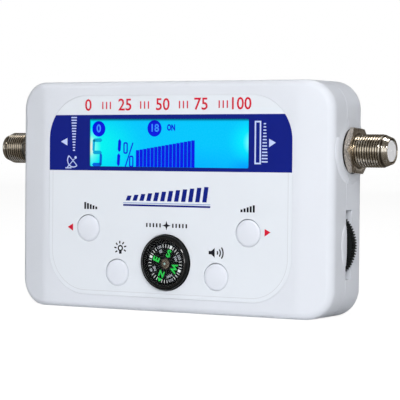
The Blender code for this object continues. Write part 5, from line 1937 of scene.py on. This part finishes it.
@dataclass
class GainWheel:
    """The toothed wheel that stands out of the right-hand side.

    Its edges are those of the dish, the rim's inside and the rim's outside.
    """

    radius: float = 0.01055
    tooth: float = 0.00055
    teeth: int = 80
    thickness: float = 0.0026
    near: float = 0.0115
    dish: float = 0.0006
    rim: float = 0.0017
    hub: float = 0.0040
    bore: float = 0.0019
    chamfer: float = 0.00022
    edges: Triple = (0.0002, 0.00005, 0.00012)
    tooth_share: float = 0.8
    tip_share: float = 0.4
    end_share: float = 0.45
    sunk: float = 0.0001

    def tooth_shape(self, root: float) -> Thing:
        """One tooth with chamfered ends, for the tree to repeat.

        Args:
            root: Radius that the teeth stand on.

        Returns:
            The tooth, along local X from the wheel's body.
        """
        half, low, far = math.pi * root / self.teeth * self.tooth_share, -self.sunk, self.thickness
        ends = [(0.0, self.end_share), (self.chamfer, 1.0), (far - self.chamfer, 1.0), (far, self.end_share)]
        rings = []
        for along, rise in ends:
            tip, slim = self.tooth * rise, half * self.tip_share
            rings.append([(low, -half, along), (tip, -slim, along), (tip, slim, along), (low, half, along)])
        return capped("tooth", rings)

    def build(self) -> None:
        """Make the wheel's body and wind the teeth round it."""
        root = self.radius - self.tooth
        rim = root - self.rim
        corner, inner, outer = self.edges
        half = [
            (self.bore, 0), (self.hub, 0), (self.hub, self.dish), (rim - corner, self.dish), (rim, self.dish - corner),
            (rim, inner), (rim + inner, 0), (root - outer, 0), (root, outer),
        ]
        profile = half + [(radius, self.thickness - along) for radius, along in reversed(half)]
        origin = CASE.place(CASE.wheel[0], self.near, CASE.wheel[1])
        body = turned("body", profile, Facing.INWARD, origin, 192)
        teeth = RING.make(
            "teeth", BLACK_SATIN, Facing.INWARD.at(origin), Item=self.tooth_shape(root), Count=self.teeth,
            Radius=root, Start=0.0, Step=FULL / self.teeth,
        )
        wheel = smooth(joined("knurled_wheel", [body, teeth]))
        fit(wheel, BLACK_SATIN, Body.WHEEL, ["gain_wheel"])


@dataclass
class CaseScrews:
    """Four cross-headed screws in the back shell, with their profile in millimetres from the tip."""

    profile: Outline = (
        (0, 0), (0.8, 0), (1.1, 0.3), (1.1, 14.8), (2.1, 14.8), (2.2, 14.9), (2.2, 15.7), (2.1, 15.95), (1.8, 16.15),
        (1.5, 16.2), (0, 16.2),
    )
    length: float = 0.0162
    near: float = 0.0049
    slot: Triple = (0.0006, 0.0026, 0.0018)
    spread: Point = (0.0910, 0.0552)

    def build(self) -> None:
        """Make one screw and repeat it at the corners."""
        screw = turned("screw", in_metres(self.profile), Facing.LOCAL, Vector(), 48)
        sideways, length = -self.slot[1] / 2, self.length
        for turn in (0, QUARTER):
            slot = bar_shape(*self.slot)
            slot.data.transform(Matrix.Rotation(turn, 4, "Z") @ Matrix.Translation((0, sideways, length)))
            combine(screw, Shaping.CUT, slot)
        place = Facing.INWARD.at(CASE.place(0, self.near, 0))
        four = CORNERS.make("case_screws", ZINC, place, Item=screw, Width=self.spread[0], Height=self.spread[1])
        fit(smooth(four), ZINC, stands_for=[f"case_screw_{number}" for number in range(1, 5)])


class Insides:
    """The parts behind the front face, which keep their own shapes."""

    finishes: dict[str, Finish] = {
        "lcd_holder": PLUG_WHITE, "light_guide": GUIDE, "contact_strip": RUBBER, "main_board": MASK_GREEN,
        "board_screw": ZINC, "plunger": BLACK_SATIN, "switch_body": DARK_STEEL, "compass_pivot": ZINC,
        "contact_left": BRASS, "contact_right": BRASS, "wheel_shaft": DARK_STEEL, "pot_body": ZINC,
        "tuner_can": TIN, "sounder": BLACK_SATIN, "capacitor": SLEEVE, "controller_chip": BLACK_SATIN,
    }

    def build(self) -> None:
        """Give each of them its finish."""
        for name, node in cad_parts.items():
            for finish in (made for start, made in self.finishes.items() if name.startswith(start)):
                for slot in node.material_slots:
                    slot.material = finish.material()
                LOG.info("%s keeps its shape, in %s", name, finish.name)


@dataclass(frozen=True)
class Lamp:
    """A soft lamp: its direction, size, strength, and whether it lights or only shines in gloss."""

    name: str
    azimuth: float
    elevation: float
    size: Point
    power: float
    lights: bool = True
    distance: float = 0.9


@dataclass(frozen=True)
class Screen:
    """A dark screen: its middle, size and the direction that it faces."""

    name: str
    middle: Triple
    size: float
    facing: Facing = Facing.LOCAL


@dataclass
class Studio:
    """Camera, lamps, world, floor and screens."""

    azimuth: float = math.radians(30.261)
    elevation: float = math.radians(1.559)
    roll: float = math.radians(0.478)
    distance: float = 0.5698
    target: Triple = (0.005692, -0.00005, 0.033166)
    lens: float = 172.364
    sensor: float = 36.0
    ambient: float = 0.173
    floor_size: float = 8.0
    floor_glow: float = 0.92
    floor_white: float = 0.85
    floor_fall: float = 0.68
    dark: Triple = (0.075, 0.066, 0.054)
    screens: tuple[Screen, ...] = (
        Screen("roof_screen", (0.0, 0.0, 1.0), 4.0), Screen("back_screen", (0.0, 1.5, 0.0), 5.0, Facing.OUTWARD),
        Screen("left_screen", (-1.3, 0.45, 0.5), 2.6, Facing.RIGHT),
        Screen("right_screen", (1.3, 0.52, 0.3), 0.8, Facing.RIGHT), Screen("low_screen", (0.0, 0.0, 0.0004), 1.3),
    )
    lamps: tuple[Lamp, ...] = (
        Lamp("key", 32, 20, (0.7, 0.7), 6.5),
        Lamp("top", 10, 78, (0.6, 0.4), 2.3),
        Lamp("crown", 180, 79, (0.45, 0.3), 3.4, lights=False),
        Lamp("glint_low", 34, 30, (0.14, 0.14), 1.4, lights=False),
        Lamp("spark", 40, -1, (0.16, 0.3), 0.6, lights=False),
        Lamp("back", 180, 40, (0.8, 0.8), 0.6),
    )

    def direction(self, azimuth: float, elevation: float) -> Vector:
        """Direction from the meter, with azimuth 0 in front of it and 90 degrees to its right."""
        level = math.cos(elevation)
        return Vector((math.sin(azimuth) * level, -math.cos(azimuth) * level, math.sin(elevation)))

    def camera(self) -> None:
        """Place the camera."""
        back = self.direction(self.azimuth, self.elevation)
        level = Vector((math.cos(self.azimuth), math.sin(self.azimuth), 0))
        upright = back.cross(level)
        right = level * math.cos(self.roll) + upright * math.sin(self.roll)
        up = upright * math.cos(self.roll) - level * math.sin(self.roll)
        data = bpy.data.cameras.new("camera")
        data.sensor_fit, data.sensor_width, data.lens = "HORIZONTAL", self.sensor, self.lens
        data.clip_start, data.clip_end = 0.01, 20
        camera = link_object("camera", data)
        turn = Matrix((right, up, back)).transposed().to_4x4()
        camera.matrix_world = Matrix.Translation(Vector(self.target) + back * self.distance) @ turn
        bpy.context.scene.camera = camera

    def light(self) -> None:
        """Place the soft lamps round the meter; a lamp that lights isn't seen in gloss."""
        middle = Vector((0, 0, CASE.middle_z))
        for lamp in self.lamps:
            data = bpy.data.lights.new(lamp.name, "AREA")
            data.shape, (data.size, data.size_y), data.energy = "RECTANGLE", lamp.size, lamp.power
            thing = link_object(lamp.name, data)
            thing.visible_diffuse, thing.visible_glossy = lamp.lights, not lamp.lights
            thing.visible_transmission = False
            away = self.direction(math.radians(lamp.azimuth), math.radians(lamp.elevation))
            turn = away.to_track_quat("Z", "Y").to_matrix().to_4x4()
            thing.matrix_world = Matrix.Translation(middle + away * lamp.distance) @ turn

    def world(self) -> None:
        """Make a white background that lights the meter softly."""
        world = bpy.data.worlds.new("studio")
        world.use_nodes = True
        bpy.context.scene.world = world
        sheet = NodeSheet(world.node_tree)
        strength = sheet.math("ADD", sheet.math("MULTIPLY", sheet.seen(), 1 - self.ambient), self.ambient)
        sheet.fill(world.node_tree.nodes["Background"], {"Color": (1, 1, 1), "Strength": strength})

    def sheet_of(self, name: str, size: float, place: Matrix, material: bpy.types.Material) -> Thing:
        """Hang a flat square in the studio.

        Args:
            name: Its name.
            size: Length of its sides.
            place: Where it hangs.
            material: What it is made of.

        Returns:
            The square.
        """
        shape = bmesh.new()
        bmesh.ops.create_grid(shape, x_segments=1, y_segments=1, size=size / 2)
        thing = object_from(name, shape, place)
        thing.data.materials.append(material)
        return thing

    def floor(self) -> None:
        """Lay a white floor that keeps a faint shadow."""
        material, sheet = new_material("floor_white")
        seen, tone = sheet.seen(), sheet.vary(sheet.noise(sheet.object_place(), 1 / 0.4), 0.97, 1.0)
        fall = sheet.math("MULTIPLY", seen, self.floor_fall)
        paper = sheet.math("MULTIPLY", tone, sheet.math("SUBTRACT", self.floor_white, fall))
        sheet.surface(
            Base_Color=sheet.node("ShaderNodeCombineColor", {0: paper, 1: paper, 2: paper}).outputs[0],
            Roughness=0.9, Specular_IOR_Level=0.1, Emission_Color=(1, 1, 1),
            Emission_Strength=sheet.math("MULTIPLY", seen, self.floor_glow),
        )
        self.sheet_of("studio_floor", self.floor_size, Matrix(), material)

    def reflections(self) -> None:
        """Hang dark screens round the meter, which only show in its metal."""
        material, sheet = new_material("dark_cloth")
        # The screens' tone is emitted, not lit. It is painted light in place of the dim light that would fall on the
        # cloth, varied at random.
        cloth_tone = sheet.vary(sheet.noise(sheet.object_place(), 1 / 0.3), 0.8, 1.2)
        cloth = sheet.scaled(self.dark, cloth_tone)
        sheet.surface(Emission_Color=cloth, Emission_Strength=1.0, Base_Color=(0.02, 0.02, 0.02))
        for screen in self.screens:
            thing = self.sheet_of(screen.name, screen.size, screen.facing.at(Vector(screen.middle)), material)
            thing.visible_camera = thing.visible_diffuse = thing.visible_shadow = thing.visible_transmission = False

    def build(self) -> None:
        """Set up the whole studio."""
        self.camera()
        self.light()
        self.world()
        self.floor()
        self.reflections()
        bpy.context.scene.view_settings.view_transform = "Standard"


def main() -> None:
    """Build the studio and every piece of the meter."""
    logging.basicConfig(level=logging.INFO, format="%(message)s")
    Studio().build()
    shells = Shells()
    shells.front()
    shells.back()
    FrontLabel().build()
    Display().build()
    Buttons().build()
    Compass().build()
    for side in Side:
        Socket(side).build()
    GainWheel().build()
    CaseScrews().build()
    Insides().build()


if __name__ == "__main__":
    main()
